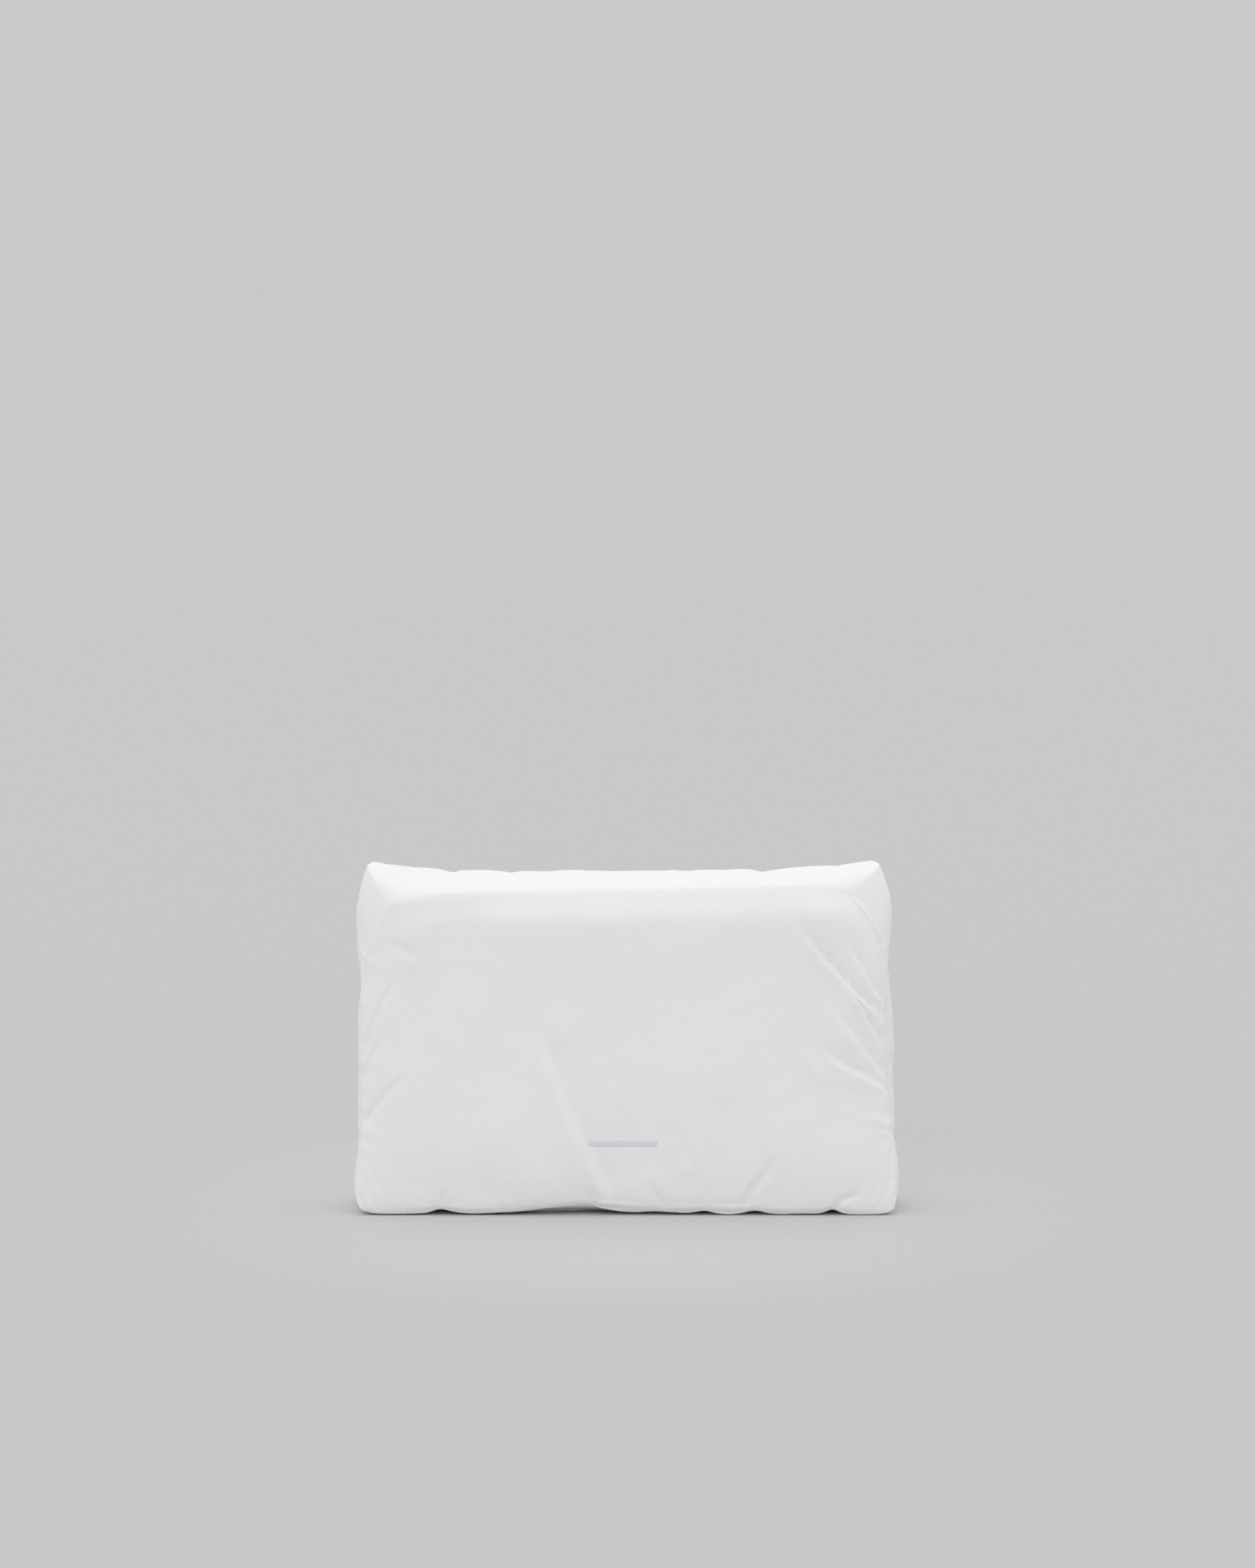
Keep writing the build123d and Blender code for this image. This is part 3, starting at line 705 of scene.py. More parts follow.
def fibre(colours):
    """Siliconised hollow polyester fibre, blown: loose crimped threads, very matt."""
    material, tree, out = new_material("polyester_fibre_blown")
    place = node(tree, "ShaderNodeTexCoord").outputs["Object"]
    clump = node(tree, "ShaderNodeTexVoronoi", {"Vector": place, "Scale": 70.0})
    strand = node(
        tree, "ShaderNodeTexNoise",
        {"Vector": place, "Scale": 600.0, "Detail": 6.0, "Distortion": 2.0},
    )
    height = node(
        tree, "ShaderNodeMath", {0: clump.outputs["Distance"], 1: strand.outputs["Fac"]},
        operation="ADD",
    ).outputs[0]
    bump = node(
        tree, "ShaderNodeBump", {"Strength": 0.7, "Distance": 0.001, "Height": height}
    ).outputs[0]
    shader = node(tree, "ShaderNodeBsdfPrincipled", {
        "Base Color": colours.fill, "Roughness": 1.0, "Normal": bump,
        "Sheen Weight": 0.4, "Sheen Roughness": 0.6,
    })
    tree.links.new(shader.outputs[0], out.inputs[0])
    return material


def zip_tape_weave(colours):
    """Polyester zip tape, knit in a herringbone: ribs 0.8 mm apart that change their slant."""
    material, tree, out = new_material("polyester_tape_herringbone")
    place = node(tree, "ShaderNodeTexCoord").outputs["Object"]
    ribs = node(
        tree, "ShaderNodeTexWave", {"Vector": place, "Scale": WAVE_SCALE / 0.0008},
        bands_direction="X", wave_profile="SIN",
    )
    slant = node(
        tree, "ShaderNodeTexWave", {"Vector": place, "Scale": WAVE_SCALE / 0.0012},
        bands_direction="Z", wave_profile="TRI",
    )
    height = node(
        tree, "ShaderNodeMath", {0: ribs.outputs["Fac"], 1: slant.outputs["Fac"]},
        operation="MULTIPLY",
    ).outputs[0]
    # painted shade: the tape is drawn darker between its ribs, where shade falls
    tint = node(
        tree, "ShaderNodeMix", {0: height, 6: colours.tape_painted_shade, 7: colours.tape},
        data_type="RGBA",
    ).outputs[2]
    bump = node(
        tree, "ShaderNodeBump", {"Strength": 0.5, "Distance": 0.0002, "Height": height}
    ).outputs[0]
    shader = node(tree, "ShaderNodeBsdfPrincipled", {
        "Base Color": tint, "Roughness": 0.8, "Normal": bump, "Sheen Weight": 0.15,
    })
    tree.links.new(shader.outputs[0], out.inputs[0])
    return material


def coil_filament(colours):
    """Drawn polyester monofilament: smooth, slightly see-through, so its edges look soft."""
    material, tree, out = new_material("polyester_monofilament_drawn")
    place = node(tree, "ShaderNodeTexCoord").outputs["Object"]
    draw = node(tree, "ShaderNodeTexNoise", {"Vector": place, "Scale": 900.0})
    rough = node(
        tree, "ShaderNodeMapRange", {"Value": draw.outputs["Fac"], 3: 0.28, 4: 0.42}
    ).outputs[0]
    shader = node(tree, "ShaderNodeBsdfPrincipled", {
        "Base Color": colours.coil, "Roughness": rough, "IOR": 1.57,
        "Subsurface Weight": 0.25, "Subsurface Scale": 0.0006,
    })
    tree.links.new(shader.outputs[0], out.inputs[0])
    return material


def painted_zinc(colours):
    """Die-cast zinc, sprayed white: a hard satin coat with fine orange peel, worn to the grey
    metal along its sharpest edges."""
    material, tree, out = new_material("zinc_diecast_painted")
    place = node(tree, "ShaderNodeTexCoord").outputs["Object"]
    peel = node(tree, "ShaderNodeTexNoise", {"Vector": place, "Scale": 1100.0, "Detail": 2.0})
    chips = node(tree, "ShaderNodeTexNoise", {"Vector": place, "Scale": 700.0, "Detail": 5.0})
    edge = node(tree, "ShaderNodeNewGeometry").outputs["Pointiness"]
    sharp = node(tree, "ShaderNodeMapRange", {"Value": edge, 1: 0.53, 2: 0.62}).outputs[0]
    worn = node(tree, "ShaderNodeMath", {0: sharp, 1: chips.outputs["Fac"]}, operation="MULTIPLY")
    tint = node(
        tree, "ShaderNodeMix",
        {0: worn.outputs[0], 6: colours.slider, 7: colours.bare_metal},
        data_type="RGBA",
    ).outputs[2]
    bump = node(
        tree, "ShaderNodeBump",
        {"Strength": 0.15, "Distance": 0.00005, "Height": peel.outputs["Fac"]},
    ).outputs[0]
    shader = node(tree, "ShaderNodeBsdfPrincipled", {
        "Base Color": tint, "Roughness": 0.38, "Normal": bump, "IOR": 1.5,
        "Coat Weight": 0.3, "Coat Roughness": 0.2,
    })
    tree.links.new(shader.outputs[0], out.inputs[0])
    return material


def pressed_aluminium(colours):
    """Aluminium strip, cut and pressed: a grey metal with fine lines along the strip."""
    material, tree, out = new_material("aluminium_strip_pressed")
    place = node(tree, "ShaderNodeTexCoord").outputs["Object"]
    lines = node(
        tree, "ShaderNodeMapping", {"Vector": place, "Scale": (400, 4000, 4000)}
    ).outputs[0]
    grain = node(tree, "ShaderNodeTexNoise", {"Vector": lines, "Scale": 1.0, "Detail": 3.0})
    rough = node(
        tree, "ShaderNodeMapRange", {"Value": grain.outputs["Fac"], 3: 0.25, 4: 0.5}
    ).outputs[0]
    shader = node(tree, "ShaderNodeBsdfPrincipled", {
        "Base Color": colours.bare_metal, "Metallic": 1.0, "Roughness": rough,
    })
    tree.links.new(shader.outputs[0], out.inputs[0])
    return material


def print_ink(colours):
    """Heat-pressed transfer ink: a thin flat film, so the cloth's weave shows through it."""
    material, tree, out = new_material("transfer_ink_pressed")
    place = node(tree, "ShaderNodeTexCoord").outputs["Object"]
    turned = node(
        tree, "ShaderNodeMapping", {"Vector": place, "Rotation": (math.pi / 2, 0, 0)}
    ).outputs[0]
    weave = plain_weave(tree, turned, WEAVE_PITCH)
    cloud = node(tree, "ShaderNodeTexNoise", {"Vector": place, "Scale": 500.0, "Detail": 3.0})
    tint = node(
        tree, "ShaderNodeMix",
        {0: cloud.outputs["Fac"], 6: colours.ink_shade, 7: colours.ink},
        data_type="RGBA",
    ).outputs[2]
    bump = node(
        tree, "ShaderNodeBump", {"Strength": 0.1, "Distance": 0.00006, "Height": weave}
    ).outputs[0]
    shader = node(tree, "ShaderNodeBsdfPrincipled", {
        "Base Color": tint, "Roughness": 0.5, "Normal": bump, "IOR": 1.48,
    })
    tree.links.new(shader.outputs[0], out.inputs[0])
    return material


def label_satin(colours):
    """Polyester satin ribbon, woven: long floats along the ribbon give a soft gloss, with
    fine grey rules printed on it."""
    material, tree, out = new_material("polyester_satin_woven")
    place = node(tree, "ShaderNodeTexCoord").outputs["Object"]
    floats = node(
        tree, "ShaderNodeMapping", {"Vector": place, "Scale": (3000, 3000, 300)}
    ).outputs[0]
    grain = node(tree, "ShaderNodeTexNoise", {"Vector": floats, "Scale": 1.0, "Detail": 2.0})
    rows = node(
        tree, "ShaderNodeTexWave",
        {"Vector": place, "Scale": WAVE_SCALE / 0.0045, "Phase Offset": 1.2},
        bands_direction="Z", wave_profile="SIN",
    )
    rule = node(
        tree, "ShaderNodeMapRange", {"Value": rows.outputs["Fac"], 1: 0.93, 2: 0.97}
    ).outputs[0]
    inked = node(tree, "ShaderNodeAttribute", attribute_name="printed").outputs["Fac"]
    shown = node(tree, "ShaderNodeMath", {0: rule, 1: inked}, operation="MULTIPLY").outputs[0]
    tint = node(
        tree, "ShaderNodeMix", {0: shown, 6: colours.label, 7: colours.label_ink},
        data_type="RGBA",
    ).outputs[2]
    bump = node(
        tree, "ShaderNodeBump",
        {"Strength": 0.3, "Distance": 0.00008, "Height": grain.outputs["Fac"]},
    ).outputs[0]
    shader = node(tree, "ShaderNodeBsdfPrincipled", {
        "Base Color": tint, "Roughness": 0.4, "Normal": bump, "Sheen Weight": 0.3,
        "Anisotropic": 0.4,
    })
    tree.links.new(shader.outputs[0], out.inputs[0])
    return material


def sewing_thread(colours):
    """Spun polyester sewing thread: two plies twisted together, matt."""
    material, tree, out = new_material("polyester_thread_twisted")
    place = node(tree, "ShaderNodeTexCoord").outputs["Object"]
    twist = node(
        tree, "ShaderNodeTexWave", {"Vector": place, "Scale": WAVE_SCALE / 0.0004},
        bands_direction="DIAGONAL",
    )
    # painted shade: the thread is drawn darker between its plies, where shade falls
    tint = node(
        tree, "ShaderNodeMix",
        {0: twist.outputs["Fac"], 6: colours.thread_painted_shade, 7: colours.thread},
        data_type="RGBA",
    ).outputs[2]
    bump = node(
        tree, "ShaderNodeBump",
        {"Strength": 0.6, "Distance": 0.0001, "Height": twist.outputs["Fac"]},
    ).outputs[0]
    shader = node(tree, "ShaderNodeBsdfPrincipled", {
        "Base Color": tint, "Roughness": 0.75, "Normal": bump, "Sheen Weight": 0.2,
    })
    tree.links.new(shader.outputs[0], out.inputs[0])
    return material


def studio_board(colours):
    """Matt painted board: a pale grey floor, drawn lighter in an oval where the pillow stands as a
    painted pool of light that thins the pillow's shade round it, with a trace of roller texture."""
    material, tree, out = new_material("board_matt_painted")
    place = node(tree, "ShaderNodeTexCoord").outputs["Object"]
    roller = node(tree, "ShaderNodeTexNoise", {"Vector": place, "Scale": 250.0, "Detail": 2.0})
    # painted light: an oval round the pillow is drawn lighter, which thins the shade that the
    # pillow casts on the floor
    oval = node(
        tree, "ShaderNodeMapping", {"Vector": place, "Scale": (1 / 0.42, 1 / 0.55, 1)}
    ).outputs[0]
    middle = node(tree, "ShaderNodeTexGradient", {"Vector": oval}, gradient_type="SPHERICAL")
    light_pool = node(
        tree, "ShaderNodeMapRange", {"Value": middle.outputs["Fac"], 1: 0.0, 2: 0.75},
        interpolation_type="SMOOTHSTEP",
    ).outputs[0]
    tint = node(
        tree, "ShaderNodeMix", {0: light_pool, 6: colours.floor, 7: colours.floor_painted_light},
        data_type="RGBA",
    ).outputs[2]
    bump = node(
        tree, "ShaderNodeBump",
        {"Strength": 0.05, "Distance": 0.0001, "Height": roller.outputs["Fac"]},
    ).outputs[0]
    shader = node(tree, "ShaderNodeBsdfPrincipled", {
        "Base Color": tint, "Roughness": 0.9, "Specular IOR Level": 0.1,
        "Normal": bump,
    })
    tree.links.new(shader.outputs[0], out.inputs[0])
    return material


# Settings

def length(name, description, default):
    """A length, given here in millimetres and kept in metres."""
    return bpy.props.FloatProperty(
        name=name, description=description, default=default * MM, min=0, precision=5,
        unit="LENGTH", subtype="DISTANCE",
    )


def share(name, description, default):
    """A share from 0 to 1."""
    return bpy.props.FloatProperty(
        name=name, description=description, default=default, min=0, max=1, precision=3,
        subtype="FACTOR",
    )


def amount(name, description, default):
    """A plain number, for the simulation."""
    return bpy.props.FloatProperty(name=name, description=description, default=default, min=0)


def colour(name, description, default):
    """A colour, given here as an sRGB hex value and kept as linear parts."""
    return bpy.props.FloatVectorProperty(
        name=name, description=description, default=linear(default), size=4, min=0, max=1,
        subtype="COLOR",
    )


def mm(value):
    """A kept length in millimetres, without the last digits that storing it changed."""
    return round(value / MM, 4)


class PillowSizes(bpy.types.PropertyGroup):
    """Sizes and stiffnesses of the soft pieces and the zip."""

    cell: length("Grid cell", "Spacing of the fabric's grid", 4.0)
    fullness: length("Fullness", "How far a face bulges past its seams", 8.8)
    pressure: amount("Pressure", "Push of the stuffing in the simulation", 1.2)
    bending: amount("Bending", "Stiffness of the padded fabric", 4.0)
    slack: share("Slack", "Spare fabric inside the panels", 0.004)
    gather: share("Gather", "How much the seams are gathered", 0.03)
    sim_frames: bpy.props.IntProperty(
        name="Steps", description="Steps of the simulation", default=24, min=2
    )
    casing_inset: length("Casing inset", "From the cover to the inner casing", 4.0)
    fill_inset: length("Fill inset", "From the cover to the fibre fill", 5.5)
    coil_pitch: length("Coil pitch", "From one turn of the zip's coil to the next", 1.25)
    coil_wire: length("Coil wire", "Radius of the coil's filament", 0.3)
    stitch_pitch: length("Stitch pitch", "From one stitch to the next beside the zip", 2.8)


class PillowColours(bpy.types.PropertyGroup):
    """Colours of the finishes."""

    cover: colour("Cover", "Taffeta in full light", "#EBEBED")
    cover_shade: colour("Cover shade", "Taffeta where the weave lies closer", "#E8E8EA")
    # painted shadow: this grey stands in for the shade inside each seam of the cover
    seam: colour("Seam", "Fabric deep in a seam", "#CFD0D3")
    casing: colour("Casing", "Inner casing", "#F1F1F0")
    casing_shade: colour("Casing shade", "Inner casing where it is thinner", "#E4E4E3")
    fill: colour("Fill", "Fibre fill", "#F6F6F4")
    tape: colour("Tape", "Zip tape", "#EAEAEA")
    # painted shade: the tape's colour between its ribs, where shade falls
    tape_painted_shade: colour("Tape shade", "Between the zip tape's ribs", "#CFD0D1")
    coil: colour("Coil", "Zip coil", "#EDEDEB")
    slider: colour("Slider", "Painted slider and puller", "#E9EAEB")
    bare_metal: colour("Bare metal", "Aluminium, and zinc under worn paint", "#B9BBBE")
    ink: colour("Ink", "Print on the front", "#DEDDE4")
    ink_shade: colour("Ink shade", "Print where it is thinner", "#D9D8DF")
    label: colour("Label", "Satin label", "#F3F3F2")
    label_ink: colour("Label ink", "Rules printed on the label", "#B4B5B9")
    thread: colour("Thread", "Sewing thread", "#F0F0F0")
    # painted shade: the thread's colour between its plies, where shade falls
    thread_painted_shade: colour("Thread shade", "Between the thread's plies", "#D2D3D4")
    floor: colour("Floor", "Studio floor", "#BDBDBD")
    # painted light: the lighter floor colour of the oval round the pillow, which thins its shade
    floor_painted_light: colour("Floor painted light", "Studio floor where the pillow stands", "#C8C8C8")
    backdrop: colour("Backdrop", "What stands behind the floor", "#C9C9C9")


def settings():
    """The scene's sizes and colours."""
    scene = bpy.context.scene
    return scene.pillow_sizes, scene.pillow_colours


# Operators

class PILLOW_OT_cover(bpy.types.Operator):
    """Makes the stuffed, sewn cover, and the casing and the fibre inside it"""

    bl_idname = "pillow.cover"
    bl_label = "Cover and filling"

    def execute(self, context):
        sizes, colours = settings()
        counts = np.array([WIDTH, GUSSET_DEPTH, HEIGHT]) / mm(sizes.cell)
        grid, faces = box_grid(np.round(counts).astype(int))
        places = stuffed_shape(grid, mm(sizes.fullness))
        places = self.swollen(places, grid, faces, sizes)
        self.inner(places, faces, sizes, colours)
        places, faces, grid = subdivided(places, faces, grid)
        # along the top of the front the fabric's fold over its seam is smoothed out
        rounded = rounded_top(grid)[:, None]
        places = places + (relaxed(places, faces, 8) - places) * rounded
        places = places + normals_of(places, faces) * fabric_relief(places, grid)[:, None]
        places = zip_valley(places, grid)
        places[:, 2] = np.maximum(places[:, 2], 0)
        cover = mesh_object("pillow_cover", places, faces, cover_fabric(colours))
        pattern_uv(cover, grid)
        distance, run, _ = seam_facts(grid)
        # the seam attribute sets both the stitch dents and the painted seam shadow, which is weaker
        # or gone where the seam lies flat
        add_attribute(cover, "seam", distance + hidden_seam(grid))
        add_attribute(cover, "run", run)
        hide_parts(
            "cover_front_panel", "cover_back_upper_panel", "cover_back_lower_panel",
            "gusset_top", "gusset_bottom", "gusset_left", "gusset_right",
        )
        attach(cover, "cover")
        return {"FINISHED"}

    def swollen(self, places, grid, faces, sizes):
        """The simulated shape: held softly all over, and firmly at the floor and the zip."""
        thing = mesh_object("sewn_box", places, faces)
        distance, _, _ = seam_facts(grid)
        panels = panel_weights(grid)
        hold = SOFT_HOLD + 0.4 * smooth(0.86, 1, np.abs(grid[:, 0])) * smooth(0.8, 1, grid[:, 2])
        hold[panels["base"]] = FIRM_HOLD
        zip_near = panels["back"] & (np.abs(places[:, 2] - ZIP_Z) < 14)
        hold[zip_near & (np.abs(places[:, 0]) < TAPE_HIGH[0] + 8)] = FIRM_HOLD
        gather = np.exp(-distance / 5.0)
        places = simulate(thing, hold, gather, sizes)
        bpy.data.objects.remove(thing)
        places[:, 2] = np.maximum(places[:, 2], 0)
        return places

    def inner(self, places, faces, sizes, colours):
        """The casing and the fibre: the cover's shape, moved inwards and smoothed."""
        smoothed = relaxed(places, faces, 6)
        inwards = normals_of(smoothed, faces)
        casing = under_zip(smoothed - inwards * mm(sizes.casing_inset), CASING_GAP)
        fill = relaxed(smoothed - inwards * mm(sizes.fill_inset), faces, 10)
        fill = under_zip(fill - inwards * (1.2 + 0.8 * ripple(fill, 22, 21))[:, None], FIBRE_GAP)
        for name, shape, material, nodes, slot in (
            ("inner_casing", casing, casing_fabric(colours),
             ("inner_casing_front", "inner_casing_back"), "casing_fabric"),
            ("fibre_batt", fill, fibre(colours), ("fibre_fill",), "fibre"),
        ):
            thing = mesh_object(name, shape, faces, material)
            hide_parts(*nodes)
            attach(thing, "cover")


class PILLOW_OT_print(bpy.types.Operator):
    """Makes the plain printed bar, which follows the front of the cover"""

    bl_idname = "pillow.print"
    bl_label = "Print"

    def execute(self, context):
        _, colours = settings()
        cover = bpy.data.objects["pillow_cover"]
        length_mm, height_mm = PRINT_HIGH[0] - PRINT_LOW[0], PRINT_HIGH[2] - PRINT_LOW[2]
        middle = (PRINT_LOW + PRINT_HIGH) / 2
        radius = height_mm / 2
        u = np.linspace(-length_mm / 2, length_mm / 2, 61)
        v = np.linspace(-1, 1, 9)
        past = np.maximum(np.abs(u) - (length_mm / 2 - radius), 0)
        tall = np.sqrt(np.maximum(radius**2 - past**2, 0.01))
        x, z = np.meshgrid(u, v, indexing="ij")
        z = z * tall[:, None]
        found, normals = on_surface(cover, (x + middle[0]).ravel(), (z + middle[2]).ravel(), -1)
        face = found + normals * INK_LIFT
        bar = mesh_object("print_bar", face, strip(len(u), len(v)), print_ink(colours))
        bar.modifiers.new("film", "SOLIDIFY").thickness = -INK_FILM * MM
        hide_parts("print_mark")
        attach(bar, "cover")
        return {"FINISHED"}


class PILLOW_OT_label(bpy.types.Operator):
    """Makes the care label, a ribbon that lies on the back and lifts away towards its free end"""

    bl_idname = "pillow.label"
    bl_label = "Care label"

    def execute(self, context):
        _, colours = settings()
        cover = bpy.data.objects["pillow_cover"]
        u = np.linspace(LABEL_LOW[0], LABEL_HIGH[0], 15)
        v = np.linspace(LABEL_LOW[2], LABEL_HIGH[2], 25)
        x, z = np.meshgrid(u, v, indexing="ij")
        found, _ = on_surface(cover, x.ravel(), z.ravel(), 1)
        free = (x.ravel() - LABEL_LOW[0]) / (LABEL_HIGH[0] - LABEL_LOW[0])
        lift = 0.45 + 1.8 * free**2 * (0.6 + 0.4 * np.cos((z.ravel() - LABEL_LOW[2]) / 9))
        ribbon = mesh_object(
            "care_label_ribbon", found + np.array([0, 1, 0]) * lift[:, None],
            strip(len(u), len(v))[:, ::-1], label_satin(colours),
        )
        margin = np.minimum(
            np.minimum(x.ravel() - LABEL_LOW[0], LABEL_HIGH[0] - x.ravel()),
            np.minimum(z.ravel() - LABEL_LOW[2], LABEL_HIGH[2] - z.ravel()),
        )
        add_attribute(ribbon, "printed", smooth(1.5, 3.0, margin) / MM)
        ribbon.modifiers.new("ribbon", "SOLIDIFY").thickness = 0.35 * MM
        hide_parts("care_label")
        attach(ribbon, "cover")
        return {"FINISHED"}


class PILLOW_OT_zip(bpy.types.Operator):
    """Makes the zip's tapes, coils and stitches, and finishes its slider and stops"""

    bl_idname = "pillow.zip"
    bl_label = "Zip"

    def execute(self, context):
        sizes, colours = settings()
        tape_material, coil_material = zip_tape_weave(colours), coil_filament(colours)
        for side, which in ((1, "upper"), (-1, "lower")):
            self.tape(which, tape_material)
            self.coil(side, which, sizes, coil_material)
        self.stitches(sizes, sewing_thread(colours))
        metal, strip_metal = painted_zinc(colours), pressed_aluminium(colours)
        for name, material in (
            ("zip_slider_body", metal), ("zip_slider_crown", metal), ("zip_puller", metal),
            ("zip_top_stops", strip_metal), ("zip_bottom_stop", strip_metal),
        ):
            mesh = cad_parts[name].data
            mesh.materials.clear()
            mesh.materials.append(material)
        return {"FINISHED"}

    def tape(self, which, material):
        """A flat woven strip with a slightly thicker edge under the coil."""
        low, high = node_box(f"zip_tape_{which}")
        x = np.linspace(low[0], high[0], 159)
        z = np.linspace(low[2], high[2], 9)
        gx, gz = np.meshgrid(x, z, indexing="ij")
        gy = np.full(gx.shape, high[1]) - 0.05 * (1 + np.cos(gx / 3.1)) * (np.abs(gz - ZIP_Z) > 8)
        places = np.stack([gx, gy, gz], -1).reshape(-1, 3)
        thing = mesh_object(f"tape_{which}", places, strip(len(x), len(z))[:, ::-1], material)
        thing.modifiers.new("tape", "SOLIDIFY").thickness = (high[1] - low[1]) * 0.9 * MM
        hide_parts(f"zip_tape_{which}")
        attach(thing, "cover")

    def coil(self, side, which, sizes, material):
        """A flattened helix along X: a ring of filament points carried round an oval path
        that moves on one pitch in each turn."""
        low, high = node_box(f"zip_coil_{which}")
        turns = int((high[0] - low[0]) / mm(sizes.coil_pitch))
        steps, around = 8, 5
        angle = np.arange(turns * steps + 1) / steps * 2 * np.pi
        wire = mm(sizes.coil_wire)
        centre = (low + high) / 2
        reach = (high - low) / 2 - wire
        path = np.stack([
            low[0] + wire + (high[0] - low[0] - 2 * wire) * angle / angle[-1],
            centre[1] + reach[1] * np.sin(angle),
            centre[2] + side * reach[2] * np.cos(angle),
        ], 1)
        ahead = np.gradient(path, axis=0)
        ahead /= np.linalg.norm(ahead, axis=1)[:, None]
        outward = np.stack([np.zeros(len(path)), np.sin(angle), side * np.cos(angle)], 1)
        outward -= ahead * (outward * ahead).sum(1)[:, None]
        outward /= np.linalg.norm(outward, axis=1)[:, None]
        other = np.cross(ahead, outward)
        ring = np.arange(around) / around * 2 * np.pi
        places = (
            path[:, None] + wire * np.cos(ring)[None, :, None] * outward[:, None]
            + wire * np.sin(ring)[None, :, None] * other[:, None]
        ).reshape(-1, 3)
        faces = tube_faces(len(path), around).tolist()
        last = (len(path) - 1) * around
        faces += [list(range(around))[::-1], list(range(last, last + around))]
        thing = mesh_object(f"coil_{which}", places, faces, material)
        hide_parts(f"zip_coil_{which}")
        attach(thing, "cover")

    def stitches(self, sizes, material):
        """A row of lockstitches along each lip: each is a short bow of thread, made of rings
        whose radius falls to nothing at both ends."""
        cover = bpy.data.objects["pillow_cover"]
        pitch = mm(sizes.stitch_pitch)
        x = np.arange(COIL_LOW[0] - 1, COIL_HIGH[0] + 1, pitch)
        rings, around = 7, 6
        f = np.linspace(-1, 1, rings)
        turn = np.arange(around) / around * 2 * np.pi
        radius = 0.22 * np.sqrt(np.maximum(1 - np.abs(f) ** 6, 0.02))
        places, faces = [], []
        for side in (-1, 1):
            found, normals = on_surface(cover, x, np.full(len(x), ZIP_Z + side * STITCH_ROW), 1)
            bow = 0.16 - 0.3 * f**2
            centre = found[:, None] + normals[:, None] * bow[None, :, None]
            centre = centre + np.array([1, 0, 0]) * (f * pitch * 0.42)[None, :, None]
            across = np.cross([1, 0, 0], normals)
            ring = (
                np.cos(turn)[None, None, :, None] * normals[:, None, None]
                + np.sin(turn)[None, None, :, None] * across[:, None, None]
            )
            places.append((centre[:, :, None] + ring * radius[None, :, None, None]).reshape(-1, 3))
        places = np.concatenate(places)
        one = tube_faces(rings, around)
        count = len(places) // (rings * around)
        starts = np.arange(count)[:, None, None] * rings * around
        faces = (starts + one[None]).reshape(-1, 4).tolist()
        for k in range(count):
            first = k * rings * around
            last = first + (rings - 1) * around
            faces += [list(range(first, first + around))[::-1], list(range(last, last + around))]
        thing = mesh_object("zip_stitches", places, faces, material)
        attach(thing, "cover")


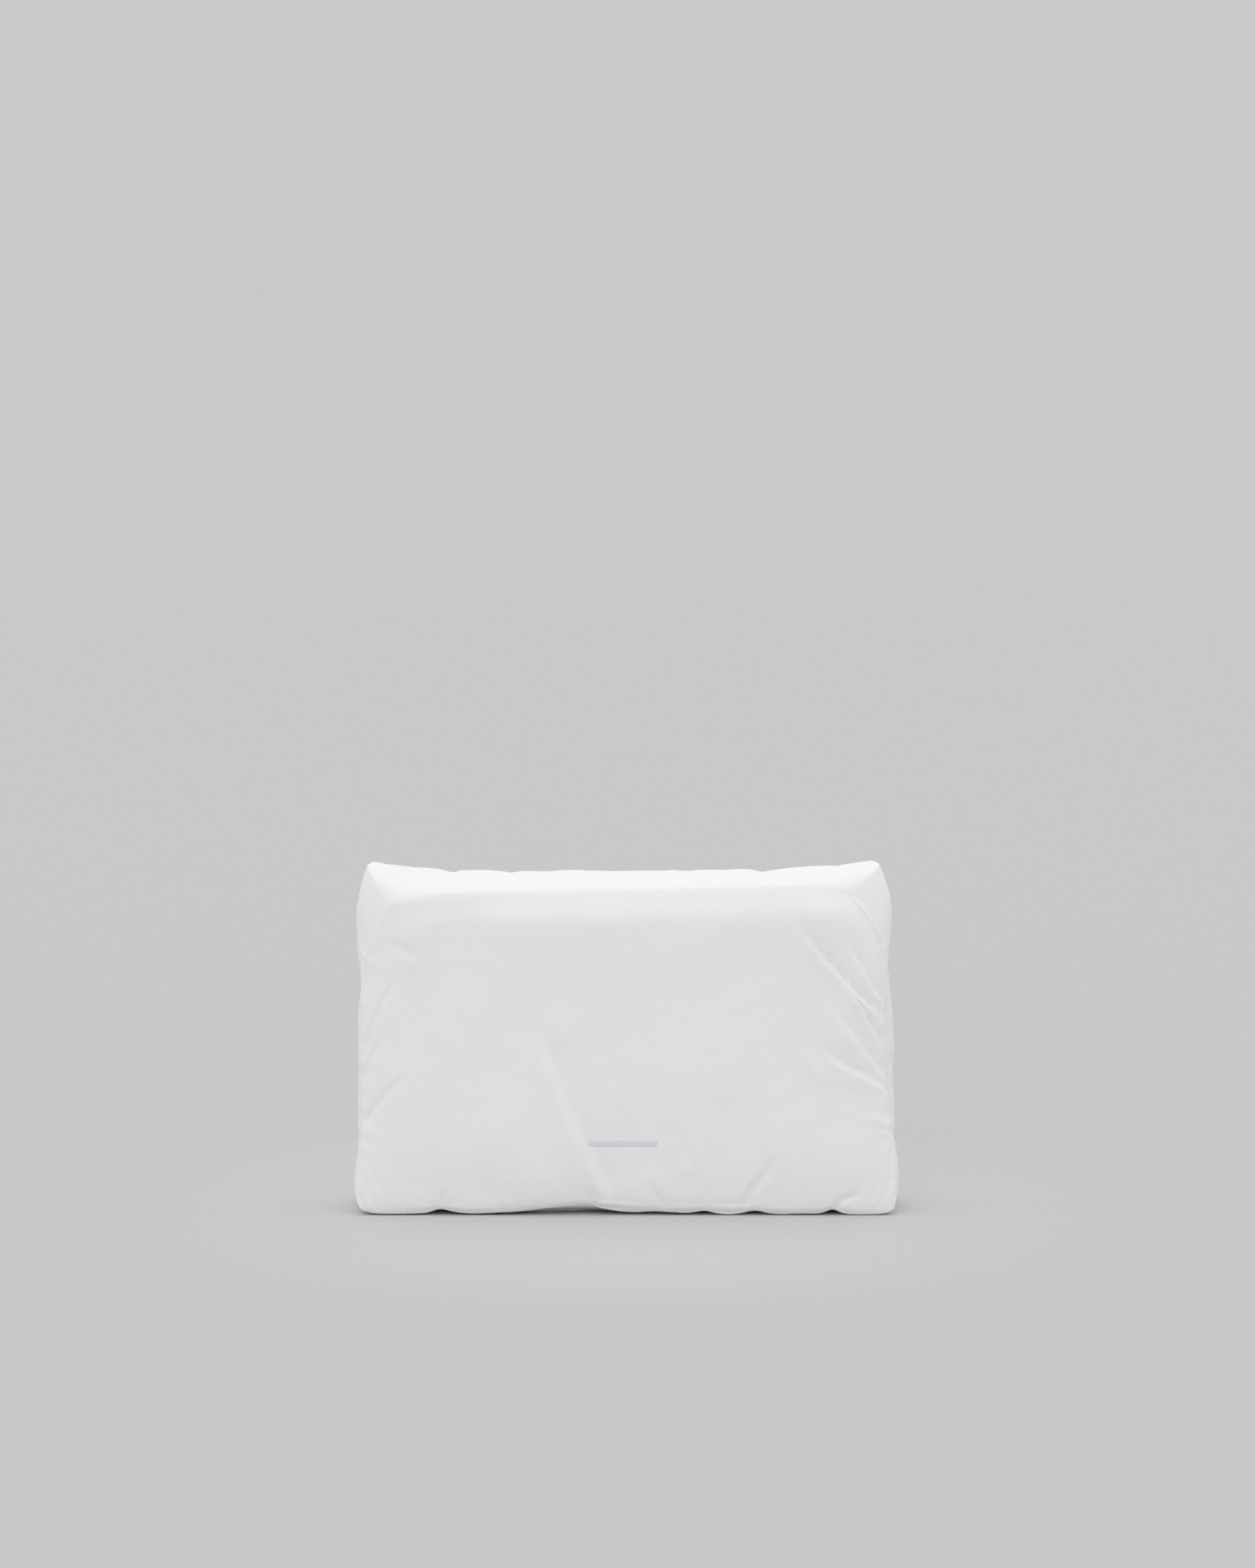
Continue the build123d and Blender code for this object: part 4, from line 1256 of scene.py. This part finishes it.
class PILLOW_OT_stage(bpy.types.Operator):
    """Makes the floor, the lights and the camera"""

    bl_idname = "pillow.stage"
    bl_label = "Stage"

    def execute(self, context):
        _, colours = settings()
        scene = context.scene
        reach = 40000.0
        corners = [(-reach, -reach, 0), (reach, -reach, 0), (reach, reach, 0), (-reach, reach, 0)]
        board = studio_board(colours)
        floor = mesh_object("studio_floor", corners, [[0, 1, 2, 3]], board, flat=True)
        self.light(scene, colours)
        self.camera(scene)
        return {"FINISHED"}

    def light(self, scene, colours):
        """A pale surround, a broad light overhead and a softer one from the front left."""
        world = bpy.data.worlds.new("studio")
        world.use_nodes = True
        tree = world.node_tree
        tree.nodes.clear()
        seen = node(tree, "ShaderNodeBackground", {"Color": colours.backdrop})
        fill = node(tree, "ShaderNodeBackground", {"Color": (1, 1, 1, 1), "Strength": 0.98})
        path = node(tree, "ShaderNodeLightPath")
        both = node(tree, "ShaderNodeMixShader", {
            0: path.outputs["Is Camera Ray"], 1: fill.outputs[0], 2: seen.outputs[0],
        })
        node(tree, "ShaderNodeOutputWorld", {"Surface": both.outputs[0]})
        scene.world = world
        for name, strength, spread, tilt, turn in (
            ("overhead", 0.28, 90, -6, 0),
            ("front_left", 0.31, 30, 60, -12),
        ):
            lamp = bpy.data.lights.new(name, "SUN")
            lamp.energy = strength
            lamp.angle = math.radians(spread)
            thing = bpy.data.objects.new(name, lamp)
            thing.rotation_euler = (math.radians(tilt), 0, math.radians(turn))
            scene.collection.objects.link(thing)

    def camera(self, scene):
        """A long lens, a little above the pillow, with the pillow low in the frame."""
        lens, distance, elevation = 155.0, 5.0, math.radians(5.0)
        over_middle = 186.0
        look = np.array([0.0005, 0.0, (HEIGHT / 2 + over_middle) * MM])
        back = np.array([0, -math.cos(elevation), math.sin(elevation)])
        data = bpy.data.cameras.new("camera")
        data.lens = lens
        data.sensor_width = 36
        thing = bpy.data.objects.new("camera", data)
        thing.location = look + back * distance
        thing.rotation_euler = (math.pi / 2 - elevation, 0, 0)
        scene.collection.objects.link(thing)
        scene.camera = thing
        scene.view_settings.view_transform = "Standard"


class PILLOW_PT_panel(bpy.types.Panel):
    """Shows the pillow's sizes and colours, and a button for each step"""

    bl_label = "Camp Pillow"
    bl_idname = "PILLOW_PT_panel"
    bl_space_type = "VIEW_3D"
    bl_region_type = "UI"
    bl_category = "Camp Pillow"

    def draw(self, context):
        for group in (context.scene.pillow_sizes, context.scene.pillow_colours):
            box = self.layout.box()
            for name in group.__annotations__:
                box.prop(group, name)
        for operator in OPERATORS:
            self.layout.operator(operator.bl_idname)


OPERATORS = (PILLOW_OT_cover, PILLOW_OT_print, PILLOW_OT_label, PILLOW_OT_zip, PILLOW_OT_stage)
CLASSES = (PillowSizes, PillowColours, *OPERATORS, PILLOW_PT_panel)


def register():
    """Adds the classes and the scene's settings."""
    for made in CLASSES:
        bpy.utils.register_class(made)
    bpy.types.Scene.pillow_sizes = bpy.props.PointerProperty(type=PillowSizes)
    bpy.types.Scene.pillow_colours = bpy.props.PointerProperty(type=PillowColours)


def unregister():
    """Takes the settings and the classes away again."""
    del bpy.types.Scene.pillow_colours
    del bpy.types.Scene.pillow_sizes
    for made in reversed(CLASSES):
        bpy.utils.unregister_class(made)


def main():
    """Makes every piece and the stage."""
    register()
    for operator in OPERATORS:
        getattr(bpy.ops.pillow, operator.bl_idname.split(".")[1])()


if __name__ == "__main__":
    main()
